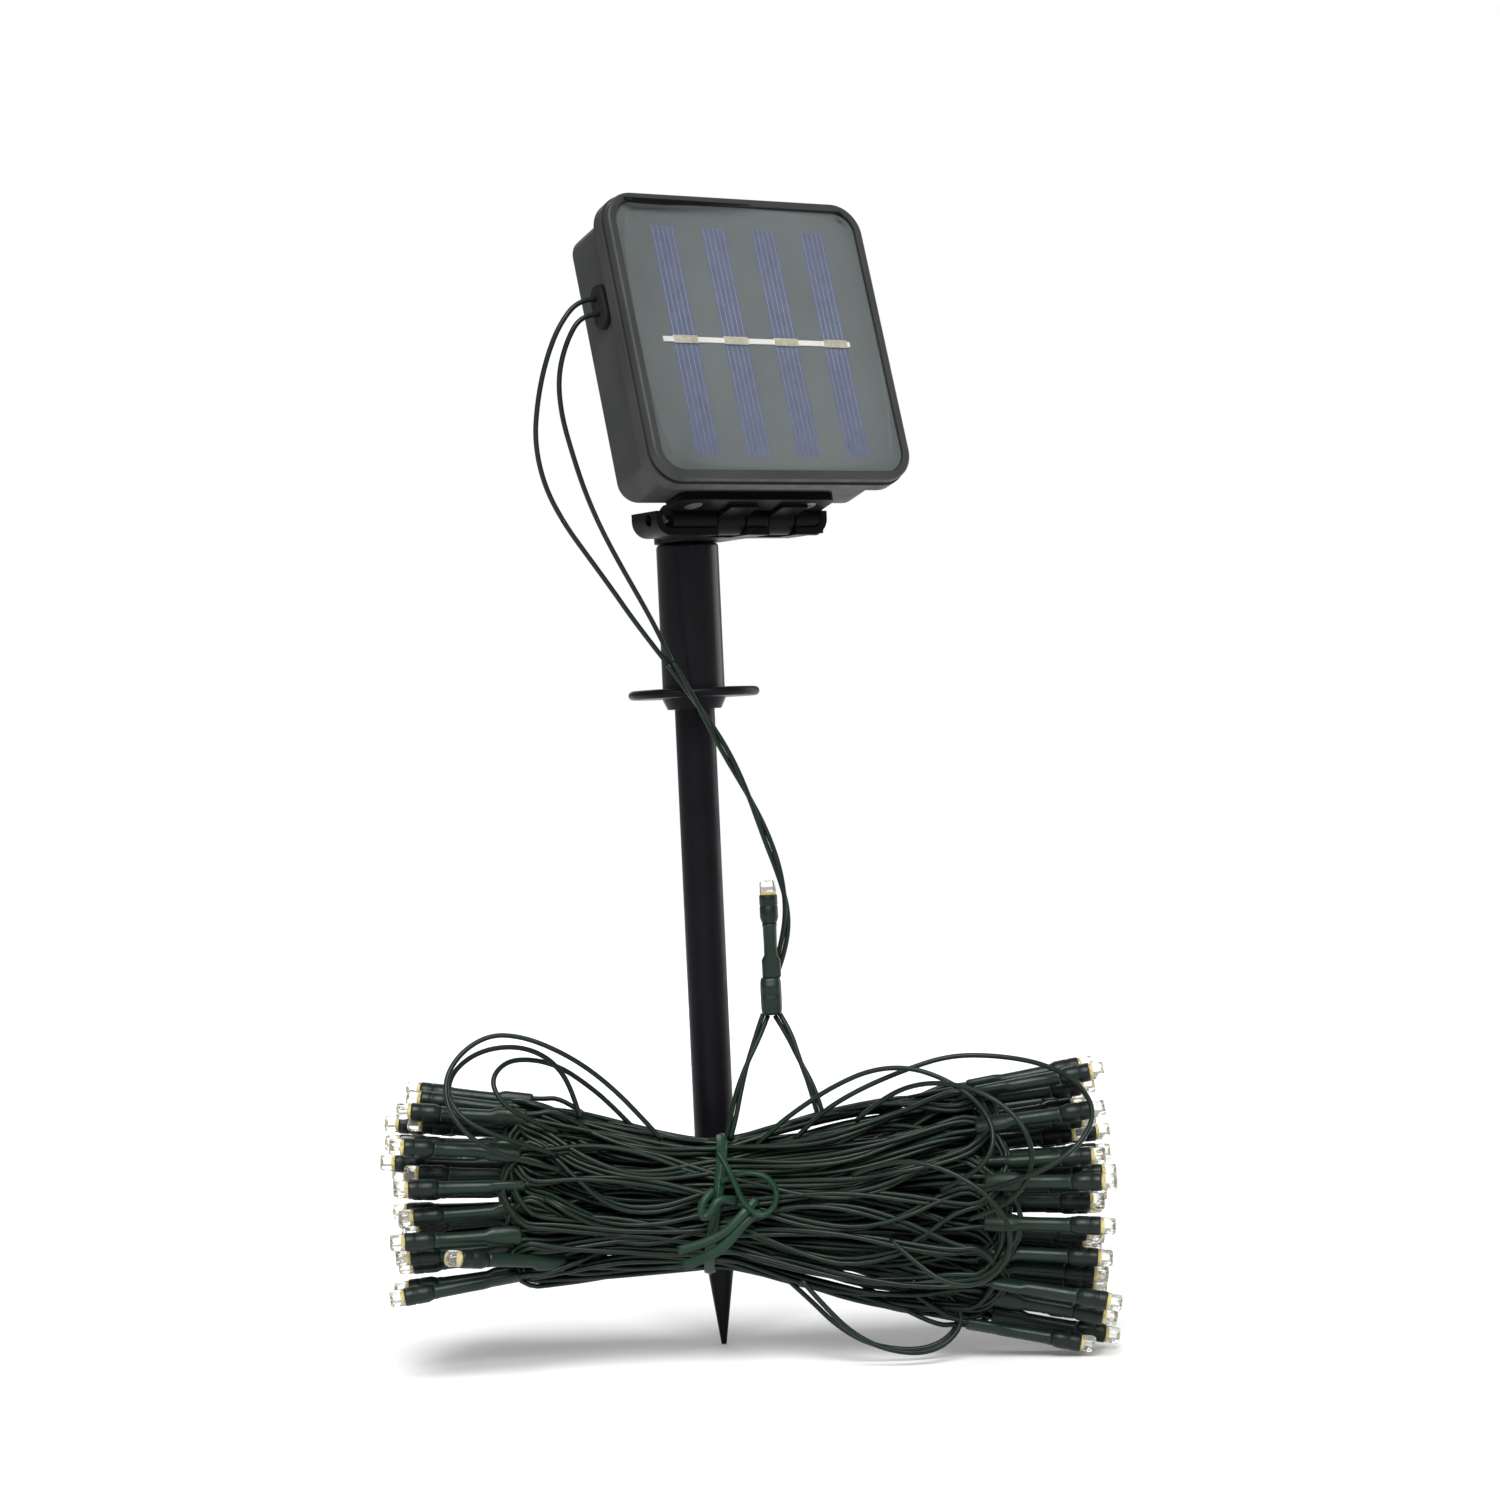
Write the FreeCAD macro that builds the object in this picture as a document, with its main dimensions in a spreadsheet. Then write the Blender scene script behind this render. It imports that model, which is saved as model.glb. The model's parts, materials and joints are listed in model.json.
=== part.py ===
"""Solar string lights: a tilting solar head on a ground stake, with its light string tied in a hank.

The origin is the tip of the ground spike, +Z is up and the solar face looks towards -Y.
The head is drawn in its own frame (X to the right, Y into the box, Z up the face, origin at
the middle of the face) and is placed by the tilt hinge. The hank and the leads are drawn in a
frame turned about the stake: across, out (away from the stake) and up.
"""
import FreeCAD
import Part
import math
import os
import Sketcher
from FreeCAD import Placement, Rotation, Vector

doc = FreeCAD.newDocument("solar_string_lights")

# Driving dimensions in millimetres, and angles in degrees.
SIZES = {
    # solar head
    "box_width": 90.0,
    "box_depth": 28.8,
    "frame_depth": 8.0,
    "frame_radius": 10.0,
    "frame_front_step": 0.5,
    "frame_groove_start": 3.0,
    "frame_groove_width": 0.9,
    "frame_groove_depth": 1.3,
    "case_inset": 3.2,
    "case_radius": 6.0,
    "seam_depth": 16.4,
    "wall": 2.0,
    "back_edge_radius": 2.2,
    "front_edge_chamfer": 0.9,
    "panel_width": 83.6,
    "panel_radius": 6.8,
    "panel_gap": 0.2,
    "board_front": 1.0,
    "board_thickness": 1.6,
    "resin_rise": 0.6,
    "strip_width": 8.4,
    "strip_length": 72.0,
    "strip_pitch": 17.4,
    "strip_thickness": 0.3,
    "ribbon_length": 65.0,
    "ribbon_height": 1.6,
    "ribbon_drop": 1.3,
    "pad_height": 2.4,
    "pad_thickness": 0.2,
    "seal_width": 0.7,
    "seal_depth": 1.2,
    # screws and bosses
    "boss_place": 36.4,
    "boss_radius": 3.6,
    "boss_front": 6.0,
    "screw_radius": 1.25,
    "screw_clearance": 1.6,
    "screw_head_radius": 2.8,
    "screw_head_height": 1.8,
    "screw_head_sink": 0.4,
    # grommet
    "grommet_height": 12.0,
    "grommet_depth": 5.8,
    "grommet_lip": 0.8,
    "grommet_rise": 2.0,
    "grommet_up": 15.0,
    "wire_gap": 4.8,
    # electronics
    "circuit_width": 56.0,
    "circuit_height": 24.0,
    "circuit_front": 19.6,
    "circuit_thickness": 1.2,
    "circuit_up": 22.0,
    "switch_side": 6.0,
    "switch_height": 2.7,
    "switch_stem": 0.8,
    "button_place": 12.0,
    "button_radius": 4.5,
    "button_clearance": 0.1,
    "button_lip": 1.0,
    "button_lip_height": 1.2,
    "button_start": 25.2,
    "button_rise": 1.2,
    "button_edge_radius": 0.6,
    "chip_side": 6.0,
    "chip_height": 5.0,
    "chip_thickness": 1.6,
    "coil_radius": 2.5,
    "coil_height": 5.0,
    "capacitor_radius": 2.0,
    "capacitor_height": 6.0,
    "connector_depth": 6.0,
    "connector_half_height": 4.2,
    "connector_left": 27.0,
    "connector_right": 21.0,
    "switch_stem_radius": 1.7,
    "battery_radius": 7.1,
    "battery_length": 50.0,
    "battery_depth": 17.2,
    "battery_drop": 18.0,
    "contact_thickness": 0.5,
    "holder_wall": 2.0,
    "holder_half_height": 9.2,
    "holder_end_half": 6.0,
    "contact_half": 5.0,
    "battery_tip_radius": 2.7,
    "battery_tip_height": 1.2,
    # tilt hinge
    "hinge_depth": 33.0,
    "hinge_drop": 45.0,
    "hinge_out": 27.7,
    "hinge_height": 249.2,
    "tilt_angle": 16.0,
    "pin_radius": 1.5,
    "pin_play": 0.05,
    "foot_width": 54.0,
    "foot_front": 17.5,
    "foot_thickness": 2.6,
    "foot_knuckle_radius": 4.4,
    "foot_screw_side": 20.0,
    "foot_screw_back": 5.5,
    "foot_edge_radius": 2.4,
    "foot_sink_depth": 1.4,
    "foot_head_height": 1.2,
    "bracket_width": 60.0,
    "bracket_drop": 4.7,
    "bracket_rise": 2.5,
    "bracket_wall": 2.2,
    "bracket_radius": 4.6,
    "bracket_corner": 5.0,
    "bracket_reach": 9.6,
    "neck_radius": 10.0,
    "neck_thickness": 4.0,
    "spigot_length": 20.0,
    # stake
    "tube_radius": 9.5,
    "bore_radius": 7.55,
    "bore_play": 0.05,
    "tube_gap": 0.3,
    "flange_top": 200.1,
    "flange_thickness": 2.8,
    "flange_radius": 20.0,
    "collar_radius": 9.8,
    "collar_height": 3.4,
    "spike_radius": 6.1,
    "spike_taper": 38.0,
    "spike_tip_radius": 0.8,
    "plug_height": 18.0,
    # string
    "wire_radius": 0.75,
    "panel_wire_radius": 0.6,
    "lead_exit_run": 5.5,
    "light_collar_cone": 2.0,
    "first_sleeve_length": 16.0,
    "splice_corner": 2.2,
    "string_turn": -32.5,
    "lens_radius": 2.45,
    "lens_length": 4.2,
    "lens_hollow": 1.1,
    "collar_led_radius": 2.7,
    "collar_led_length": 8.6,
    "sleeve_radius": 2.05,
    "sleeve_length": 25.0,
    "tie_width": 3.2,
    "tie_thickness": 0.7,
}

sheet = doc.addObject("Spreadsheet::Sheet", "sizes")
for row, (alias, value) in enumerate(SIZES.items(), start=1):
    sheet.set(f"A{row}", alias)
    sheet.set(f"B{row}", str(value))
    sheet.setAlias(f"B{row}", alias)
doc.recompute()


class Size:
    """Reads a driving dimension from the sheet as a plain number."""

    def __getattr__(self, alias):
        return float(getattr(sheet, alias))


size = Size()
nodes = {}


def node(label, obj, place=None):
    """Registers a finished sub-part under the name of its file."""
    if place is not None and obj.TypeId in ("Part::Box", "Part::Cylinder", "Part::Cone"):
        # The sheet already drives the place of a single primitive, so a compound carries the outer one.
        obj = group(obj.Name + "_placed", obj)
    obj.Label = label
    if place is not None:
        obj.Placement = place
    nodes[label] = obj
    return obj


# ---------------------------------------------------------------- simple solids

def block(name, spans):
    """A box from three (low, high) pairs of expressions."""
    obj = doc.addObject("Part::Box", name)
    for prop, axis, (low, high) in zip(("Length", "Width", "Height"), "xyz", spans):
        obj.setExpression(prop, f"({high}) - ({low})")
        obj.setExpression(f"Placement.Base.{axis}", low)
    return obj


TURNS = {
    "x": Rotation(Vector(0, 1, 0), 90),
    "y": Rotation(Vector(1, 0, 0), -90),
    "z": Rotation(),
}


def rod(name, axis, radius, span, centre, top_radius=None):
    """A round bar (or cone) along an axis, from span[0] to span[1], centred on two expressions."""
    obj = doc.addObject("Part::Cylinder" if top_radius is None else "Part::Cone", name)
    obj.Placement = Placement(Vector(), TURNS[axis])
    obj.setExpression("Radius" if top_radius is None else "Radius1", radius)
    if top_radius is not None:
        obj.setExpression("Radius2", top_radius)
    obj.setExpression("Height", f"({span[1]}) - ({span[0]})")
    obj.setExpression(f"Placement.Base.{axis}", span[0])
    for other, text in zip([a for a in "xyz" if a != axis], centre):
        obj.setExpression(f"Placement.Base.{other}", text)
    return obj


def fuse(name, *shapes):
    obj = doc.addObject("Part::MultiFuse", name)
    obj.Shapes = list(shapes)
    return obj


def cut(name, base, *tools):
    obj = doc.addObject("Part::Cut", name)
    obj.Base = base
    obj.Tool = tools[0] if len(tools) == 1 else fuse(name + "_tools", *tools)
    return obj


def group(name, *shapes):
    """Several separate solids that share one node."""
    obj = doc.addObject("Part::Compound", name)
    obj.Links = list(shapes)
    return obj


def rounded(name, base, radius, wanted):
    """Rounds the edges of a finished solid that a test picks by their middle and direction."""
    doc.recompute()
    obj = doc.addObject("Part::Fillet", name)
    obj.Base = base
    picked = []
    for number, edge in enumerate(base.Shape.Edges, start=1):
        middle = edge.valueAt((edge.FirstParameter + edge.LastParameter) / 2)
        direction = edge.tangentAt(edge.FirstParameter)
        if wanted(middle, direction):
            picked.append((number, radius, radius))
    obj.Edges = picked
    return obj


# ---------------------------------------------------------------- sketched bodies

PLANES = {"y": "XZ_Plane", "x": "YZ_Plane", "z": "XY_Plane"}


def rounded_outline(sketch, width, height, radius, centre=("0", "0")):
    """A fully constrained rounded rectangle, with its sizes bound to the sheet."""
    half = 20.0
    corner = 3.0
    inner = half - corner
    ends = [(-inner, -half), (inner, -half), (half, -inner), (half, inner),
            (inner, half), (-inner, half), (-half, inner), (-half, -inner)]
    for start in range(0, 8, 2):
        first, second = ends[start], ends[start + 1]
        sketch.addGeometry(Part.LineSegment(Vector(*first, 0), Vector(*second, 0)))
    middles = [(inner, -inner, -90), (inner, inner, 0), (-inner, inner, 90), (-inner, -inner, 180)]
    for x, y, angle in middles:
        circle = Part.Circle(Vector(x, y, 0), Vector(0, 0, 1), corner)
        sketch.addGeometry(Part.ArcOfCircle(circle, math.radians(angle), math.radians(angle + 90)))
    add = sketch.addConstraint
    for side in range(4):
        add(Sketcher.Constraint("Tangent", side, 2, 4 + side, 1))
        add(Sketcher.Constraint("Tangent", 4 + side, 2, (side + 1) % 4, 1))
    for side, kind in enumerate(("Horizontal", "Vertical", "Horizontal", "Vertical")):
        add(Sketcher.Constraint(kind, side))
    for arc in (5, 6, 7):
        add(Sketcher.Constraint("Equal", 4, arc))
    centre_point = sketch.addGeometry(Part.Point(Vector(0, 0, 0)))
    sketch.setConstruction(centre_point, True)
    add(Sketcher.Constraint("Symmetric", 0, 1, 2, 1, centre_point, 1))
    named = {
        "radius": Sketcher.Constraint("Radius", 4, corner),
        "width": Sketcher.Constraint("DistanceX", 3, 1, 1, 1, 2 * half),
        "height": Sketcher.Constraint("DistanceY", 0, 1, 2, 1, 2 * half),
        "across": Sketcher.Constraint("DistanceX", -1, 1, centre_point, 1, 0.0),
        "up": Sketcher.Constraint("DistanceY", -1, 1, centre_point, 1, 0.0),
    }
    for name, constraint in named.items():
        sketch.renameConstraint(add(constraint), name)
    texts = {"radius": radius, "width": width, "height": height, "across": centre[0], "up": centre[1]}
    for name, text in texts.items():
        sketch.setExpression(f"Constraints.{name}", text)


def plane_of(body, axis):
    return next(f for f in body.Origin.OriginFeatures if f.Role == PLANES[axis])


def layer(body, kind, name, axis, span, outline, centre=("0", "0")):
    """One Pad or Pocket of a body: a rounded rectangle between two depths along an axis."""
    sketch = body.newObject("Sketcher::SketchObject", name + "_outline")
    sketch.AttachmentSupport = (plane_of(body, axis), [""])
    sketch.MapMode = "FlatFace"
    toward = "-1" if axis == "y" else "1"
    sketch.setExpression("AttachmentOffset.Base.z", f"{toward} * ({span[0]})")
    rounded_outline(sketch, *outline, centre=centre)
    feature = body.newObject(f"PartDesign::{kind}", name)
    feature.Profile = sketch
    feature.setExpression("Length", f"({span[1]}) - ({span[0]})")
    # A sketch on the XZ plane faces -Y, and a pocket runs against its sketch.
    feature.Reversed = (axis == "y") == (kind == "Pad")
    doc.recompute()
    before = sum(s.Volume for s in body.Shape.Solids)
    sketch.Visibility = False
    return before


def sketched(name, axis, layers):
    """A body made of rounded-rectangle pads and pockets. Every layer must change its volume."""
    body = doc.addObject("PartDesign::Body", name)
    last = 0.0
    for number, (kind, span, outline, *centre) in enumerate(layers):
        volume = layer(body, kind, f"{name}_{number}", axis, span, outline, *centre)
        if (kind == "Pad" and volume <= last) or (kind == "Pocket" and volume >= last):
            raise RuntimeError(f"{name}: layer {number} changed nothing")
        last = volume
    return body


def on_depth(depth):
    """Tests for edges that lie in a plane of constant Y."""
    return lambda middle, direction: abs(middle.y - depth) < 1e-3 and abs(direction.y) < 1e-3


# ---------------------------------------------------------------- solar head

CASE_WIDTH = "sizes.box_width - 2 * sizes.case_inset"
INNER_WIDTH = f"{CASE_WIDTH} - 2 * sizes.wall"
LEDGE = "sizes.board_front + sizes.board_thickness"
BACK_INSIDE = "sizes.box_depth - sizes.wall"
CORNERS = [(x, z) for x in (-1, 1) for z in (-1, 1)]


def head_place():
    """The head hangs on the tilt hinge, leaning back by the tilt angle."""
    turn = Rotation(Vector(1, 0, 0), -size.tilt_angle)
    hinge = Vector(0, -size.hinge_out, size.hinge_height)
    return Placement(hinge - turn.multVec(Vector(0, size.hinge_depth, -size.hinge_drop)), turn)


HEAD = head_place()


def square(width, radius):
    return (width, width, radius)


def corner_rods(name, radius, span):
    """A round bar along the depth at each of the four screw places."""
    place = "sizes.boss_place"
    return [rod(f"{name}_{i}", "y", radius, span, (f"{x} * {place}", f"{z} * {place}"))
            for i, (x, z) in enumerate(CORNERS)]


def grommet_slot(name):
    """The oval hole through the left wall, on the seam."""
    span = ("-sizes.box_width / 2", "-sizes.box_width / 2 + sizes.case_inset + 2 * sizes.wall")
    outline = ("sizes.grommet_depth", "sizes.grommet_height", "sizes.grommet_depth / 2 - 0.01")
    return sketched(name, "x", [("Pad", span, outline, ("sizes.seam_depth", "sizes.grommet_up"))])


def front_frame():
    groove = "sizes.frame_groove_start"
    groove_end = f"{groove} + sizes.frame_groove_width"
    body = sketched("frame_body", "y", [
        ("Pad", ("0", groove), square("sizes.box_width - 2 * sizes.frame_front_step",
                                      "sizes.frame_radius - sizes.frame_front_step")),
        ("Pad", (groove, groove_end), square("sizes.box_width - 2 * sizes.frame_groove_depth",
                                             "sizes.frame_radius - sizes.frame_groove_depth")),
        ("Pad", (groove_end, "sizes.frame_depth"), square("sizes.box_width", "sizes.frame_radius")),
        ("Pad", ("sizes.frame_depth", "sizes.seam_depth"), square(CASE_WIDTH, "sizes.case_radius")),
        ("Pocket", ("0", LEDGE), square("sizes.panel_width + 2 * sizes.panel_gap",
                                        "sizes.panel_radius + sizes.panel_gap")),
        ("Pocket", (LEDGE, "sizes.seam_depth"), square(INNER_WIDTH, "sizes.case_radius - sizes.wall")),
    ])
    edge = rounded("frame_edge", body, size.front_edge_chamfer,
                   lambda m, d: on_depth(0)(m, d) and max(abs(m.x), abs(m.z)) > size.panel_width / 2 + 1)
    bosses = corner_rods("frame_boss", "sizes.boss_radius", ("sizes.boss_front", "sizes.seam_depth"))
    holes = corner_rods("frame_pilot", "sizes.screw_radius", ("sizes.boss_front + 1", "sizes.seam_depth"))
    frame = cut("frame_cut", fuse("frame_solid", edge, *bosses), grommet_slot("frame_slot"), *holes)
    return node("front_frame", frame, HEAD)


def foot_screw_place(side):
    """Where a screw of the hinge foot stands: across and depth."""
    return (f"{side} * sizes.foot_screw_side", "sizes.foot_front + sizes.foot_screw_back")


def rear_case():
    body = sketched("case_body", "y", [
        ("Pad", ("sizes.seam_depth", "sizes.box_depth"), square(CASE_WIDTH, "sizes.case_radius")),
        ("Pocket", ("sizes.seam_depth", BACK_INSIDE), square(INNER_WIDTH, "sizes.case_radius - sizes.wall")),
    ])
    edge = rounded("case_edge", body, size.back_edge_radius, on_depth(size.box_depth))
    bosses = corner_rods("case_boss", "sizes.boss_radius", ("sizes.seam_depth", BACK_INSIDE))
    foot_bosses = [rod(f"foot_boss_{i}", "z", "sizes.boss_radius - 0.4",
                       (f"-({CASE_WIDTH}) / 2 + sizes.wall - 0.2", f"-({CASE_WIDTH}) / 2 + 7"),
                       foot_screw_place(x)) for i, x in enumerate((-1, 1))]
    holes = corner_rods("case_hole", "sizes.screw_clearance", ("sizes.seam_depth", "sizes.box_depth"))
    sinks = corner_rods("case_sink", "sizes.screw_head_radius + 0.2",
                        ("sizes.box_depth - sizes.screw_head_height - sizes.screw_head_sink",
                         "sizes.box_depth"))
    button_holes = [rod(f"button_hole_{i}", "y", "sizes.button_radius + sizes.button_clearance",
                        (f"{BACK_INSIDE} - 1", "sizes.box_depth + 1"),
                        (f"{x} * sizes.button_place", "sizes.circuit_up")) for i, x in enumerate((-1, 1))]
    foot_holes = [rod(f"foot_hole_{i}", "z", "sizes.screw_radius",
                      (f"-({CASE_WIDTH}) / 2 - 1", f"-({CASE_WIDTH}) / 2 + 6"),
                      foot_screw_place(x)) for i, x in enumerate((-1, 1))]
    groove = cut("seal_groove", *seal_layers("groove"))
    case = cut("case_cut", fuse("case_solid", edge, *bosses, *foot_bosses), grommet_slot("case_slot"),
               groove, *holes, *sinks, *button_holes, *foot_holes)
    return node("rear_case", case, HEAD)


def seal_layers(name):
    """The outer and inner plates whose difference is the sealing ring in the rim of the rear case."""
    span = ("sizes.seam_depth", "sizes.seam_depth + sizes.seal_depth")
    middle = f"{CASE_WIDTH} - sizes.wall"
    outer = sketched(name + "_outer", "y", [("Pad", span, square(f"{middle} + sizes.seal_width",
                                                                  "sizes.case_radius - 0.6"))])
    inner = sketched(name + "_inner", "y", [("Pad", span, square(f"{middle} - sizes.seal_width",
                                                                  "sizes.case_radius - 1.3"))])
    return outer, inner


def case_seal():
    ring = cut("seal_ring", *seal_layers("seal"))
    return node("case_seal", cut("seal_cut", ring, grommet_slot("seal_slot")), HEAD)


def case_screws():
    head_start = "sizes.box_depth - sizes.screw_head_height - sizes.screw_head_sink"
    shanks = corner_rods("screw_shank", "sizes.screw_radius", ("sizes.boss_front + 2", head_start))
    heads = corner_rods("screw_head", "sizes.screw_head_radius",
                        (head_start, "sizes.box_depth - sizes.screw_head_sink"))
    screws = [fuse(f"case_screw_{i}", shank, top) for i, (shank, top) in enumerate(zip(shanks, heads))]
    return node("case_screws", group("case_screw_set", *screws), HEAD)


STRIP_PLACES = (-1.5, -0.5, 0.5, 1.5)


def strip_blocks(name):
    depth = ("sizes.board_front", "sizes.board_front + sizes.strip_thickness")
    height = ("-sizes.ribbon_drop - sizes.strip_length / 2", "-sizes.ribbon_drop + sizes.strip_length / 2")
    return [block(f"{name}_{i}", ((f"{place} * sizes.strip_pitch - sizes.strip_width / 2",
                                   f"{place} * sizes.strip_pitch + sizes.strip_width / 2"), depth, height))
            for i, place in enumerate(STRIP_PLACES)]


def ribbon_block(name):
    return block(name, (("-sizes.ribbon_length / 2 - 1", "sizes.ribbon_length / 2 - 1"),
                        ("sizes.board_front - sizes.strip_thickness", "sizes.board_front"),
                        ("-sizes.ribbon_drop - sizes.ribbon_height / 2",
                         "-sizes.ribbon_drop + sizes.ribbon_height / 2")))


def pad_blocks(name):
    front = "sizes.board_front - sizes.strip_thickness - sizes.pad_thickness"
    return [block(f"{name}_{i}", ((f"{place} * sizes.strip_pitch - sizes.strip_width / 2",
                                   f"{place} * sizes.strip_pitch + sizes.strip_width / 2"),
                                  (front, "sizes.board_front - sizes.strip_thickness"),
                                  ("-sizes.ribbon_drop - sizes.pad_height / 2",
                                   "-sizes.ribbon_drop + sizes.pad_height / 2")))
            for i, place in enumerate(STRIP_PLACES)]


def solar_panel():
    outline = square("sizes.panel_width", "sizes.panel_radius")
    board = sketched("board_body", "y", [("Pad", ("sizes.board_front", LEDGE), outline)])
    node("solar_board", cut("board_cut", board, *strip_blocks("board_pocket")), HEAD)
    node("cell_strips", group("strip_set", *strip_blocks("strip")), HEAD)
    node("bus_ribbon", ribbon_block("ribbon"), HEAD)
    node("solder_pads", group("pad_set", *pad_blocks("pad")), HEAD)
    resin = sketched("resin_body", "y", [("Pad", ("-sizes.resin_rise", "sizes.board_front"), outline)])
    crowned = rounded("resin_edge", resin, 1.2, on_depth(-size.resin_rise))
    moulds = [ribbon_block("ribbon_mould"), *pad_blocks("pad_mould")]
    node("resin_cover", cut("resin_cut", crowned, *moulds), HEAD)


def cable_grommet():
    outside = "-sizes.box_width / 2 + sizes.case_inset"
    inside = f"{outside} + sizes.wall"
    lip = "sizes.grommet_lip"
    neck = ("sizes.grommet_depth", "sizes.grommet_height", "sizes.grommet_depth / 2 - 0.01")
    wide = (f"sizes.grommet_depth + 2 * {lip}", f"sizes.grommet_height + 2 * {lip}",
            f"sizes.grommet_depth / 2 + {lip} - 0.01")
    centre = ("sizes.seam_depth", "sizes.grommet_up")
    body = sketched("grommet_body", "x", [
        ("Pad", (f"{outside} - sizes.grommet_rise", outside), wide, centre),
        ("Pad", (outside, inside), neck, centre),
        ("Pad", (inside, f"{inside} + 1.2"), wide, centre),
    ])
    crown = rounded("grommet_crown", body, 1.2,
                    lambda m, d: abs(m.x + size.box_width / 2 - size.case_inset + size.grommet_rise) < 1e-3)
    return node("cable_grommet", crown, HEAD)


def electronics():
    board_back = "sizes.circuit_front + sizes.circuit_thickness"
    half_width = "sizes.circuit_width / 2"
    up = ("sizes.circuit_up - sizes.circuit_height / 2", "sizes.circuit_up + sizes.circuit_height / 2")
    node("circuit_board", block("circuit", ((f"-{half_width}", half_width),
                                            ("sizes.circuit_front", board_back), up)), HEAD)
    front = ("sizes.circuit_front - sizes.chip_thickness", "sizes.circuit_front")
    chip = block("chip", (("-sizes.chip_side / 2", "sizes.chip_side / 2"), front,
                          ("sizes.circuit_up - sizes.chip_height / 2",
                           "sizes.circuit_up + sizes.chip_height / 2")))
    coil = rod("coil", "y", "sizes.coil_radius", ("sizes.circuit_front - sizes.coil_height",
                                                  "sizes.circuit_front"), ("10", "sizes.circuit_up + 3"))
    capacitor = rod("capacitor", "y", "sizes.capacitor_radius",
                    ("sizes.circuit_front - sizes.capacitor_height", "sizes.circuit_front"),
                    ("17", "sizes.circuit_up - 4"))
    node("control_chip", chip, HEAD)
    node("board_components", group("component_set", coil, capacitor), HEAD)
    node("output_connector", block("connector", (
        ("-sizes.connector_left", "-sizes.connector_right"),
        ("sizes.circuit_front - sizes.connector_depth", "sizes.circuit_front"),
        ("sizes.grommet_up - sizes.connector_half_height", "sizes.grommet_up + sizes.connector_half_height"),
    )), HEAD)
    for label, side in (("power_switch", -1), ("mode_switch", 1)):
        low = f"{side} * sizes.button_place - sizes.switch_side / 2"
        shell = block(label + "_shell", ((low, f"{low} + sizes.switch_side"),
                                         (board_back, f"{board_back} + sizes.switch_height"),
                                         ("sizes.circuit_up - sizes.switch_side / 2",
                                          "sizes.circuit_up + sizes.switch_side / 2")))
        stem_start = f"{board_back} + sizes.switch_height"
        stem = rod(label + "_stem", "y", "sizes.switch_stem_radius",
                   (stem_start, f"{stem_start} + sizes.switch_stem"),
                   (f"{side} * sizes.button_place", "sizes.circuit_up"))
        node(label, fuse(label + "_solid", shell, stem), HEAD)


def push_button(label, side):
    """A round key with a lip that keeps it behind the back wall."""
    centre = (f"{side} * sizes.button_place", "sizes.circuit_up")
    lip_end = "sizes.button_start + sizes.button_lip_height"
    key_end = "sizes.box_depth + sizes.button_rise"
    lip = rod(label + "_lip", "y", "sizes.button_radius + sizes.button_lip",
              ("sizes.button_start", lip_end), centre)
    key = rod(label + "_key", "y", "sizes.button_radius", (lip_end, key_end), centre)
    solid = fuse(label + "_solid", lip, key)
    end = size.box_depth + size.button_rise
    return node(label, rounded(label + "_edge", solid, size.button_edge_radius, on_depth(end)), HEAD)


def battery():
    depth, drop, half = "sizes.battery_depth", "-sizes.battery_drop", "sizes.battery_length / 2"
    nub = "sizes.battery_tip_height"
    flat = "sizes.contact_half"
    stop = "sizes.holder_end_half"
    can = rod("battery_can", "x", "sizes.battery_radius", (f"-{half}", f"{half} - {nub}"), (depth, drop))
    tip = rod("battery_tip", "x", "sizes.battery_tip_radius", (f"{half} - {nub}", half), (depth, drop))
    node("battery_cell", fuse("battery_solid", can, tip), HEAD)
    plate = "sizes.contact_thickness"
    end = f"{half} + {plate}"
    sides = [block(f"contact_{i}", (span, (f"{depth} - {flat}", f"{depth} + {flat}"),
                                    (f"{drop} - {flat}", f"{drop} + {flat}")))
             for i, span in enumerate(((f"-({end})", f"-{half}"), (half, end)))]
    node("battery_contacts", group("contact_set", *sides), HEAD)
    outer = f"{end} + sizes.holder_wall"
    tray = block("holder_tray", ((f"-({outer})", outer), (f"{depth} + 1", BACK_INSIDE),
                                 (f"{drop} - sizes.holder_half_height",
                                  f"{drop} + sizes.holder_half_height")))
    ends = [block(f"holder_end_{i}", (span, (f"{depth} - {stop}", f"{depth} + 1"),
                                      (f"{drop} - {stop}", f"{drop} + {stop}")))
            for i, span in enumerate(((f"-({outer})", f"-({end})"), (end, outer)))]
    room = rod("holder_room", "x", "sizes.battery_radius + 0.1", (f"-({end})", end), (depth, drop))
    node("battery_holder", cut("holder_cut", fuse("holder_solid", tray, *ends), room), HEAD)


# Side ranges along the hinge: A, C and E belong to the bracket, B and D to the foot of the head.
BRACKET_FINGERS = {"a": (-24.0, -9.0), "c": (1.5, 9.0), "e": (19.0, 29.0)}
FOOT_FINGERS = {"b": (-8.5, 1.0), "d": (9.5, 18.5)}
FINGER_PLAY = 0.3
PIN_SPAN = ("-25", "26.5")


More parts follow.
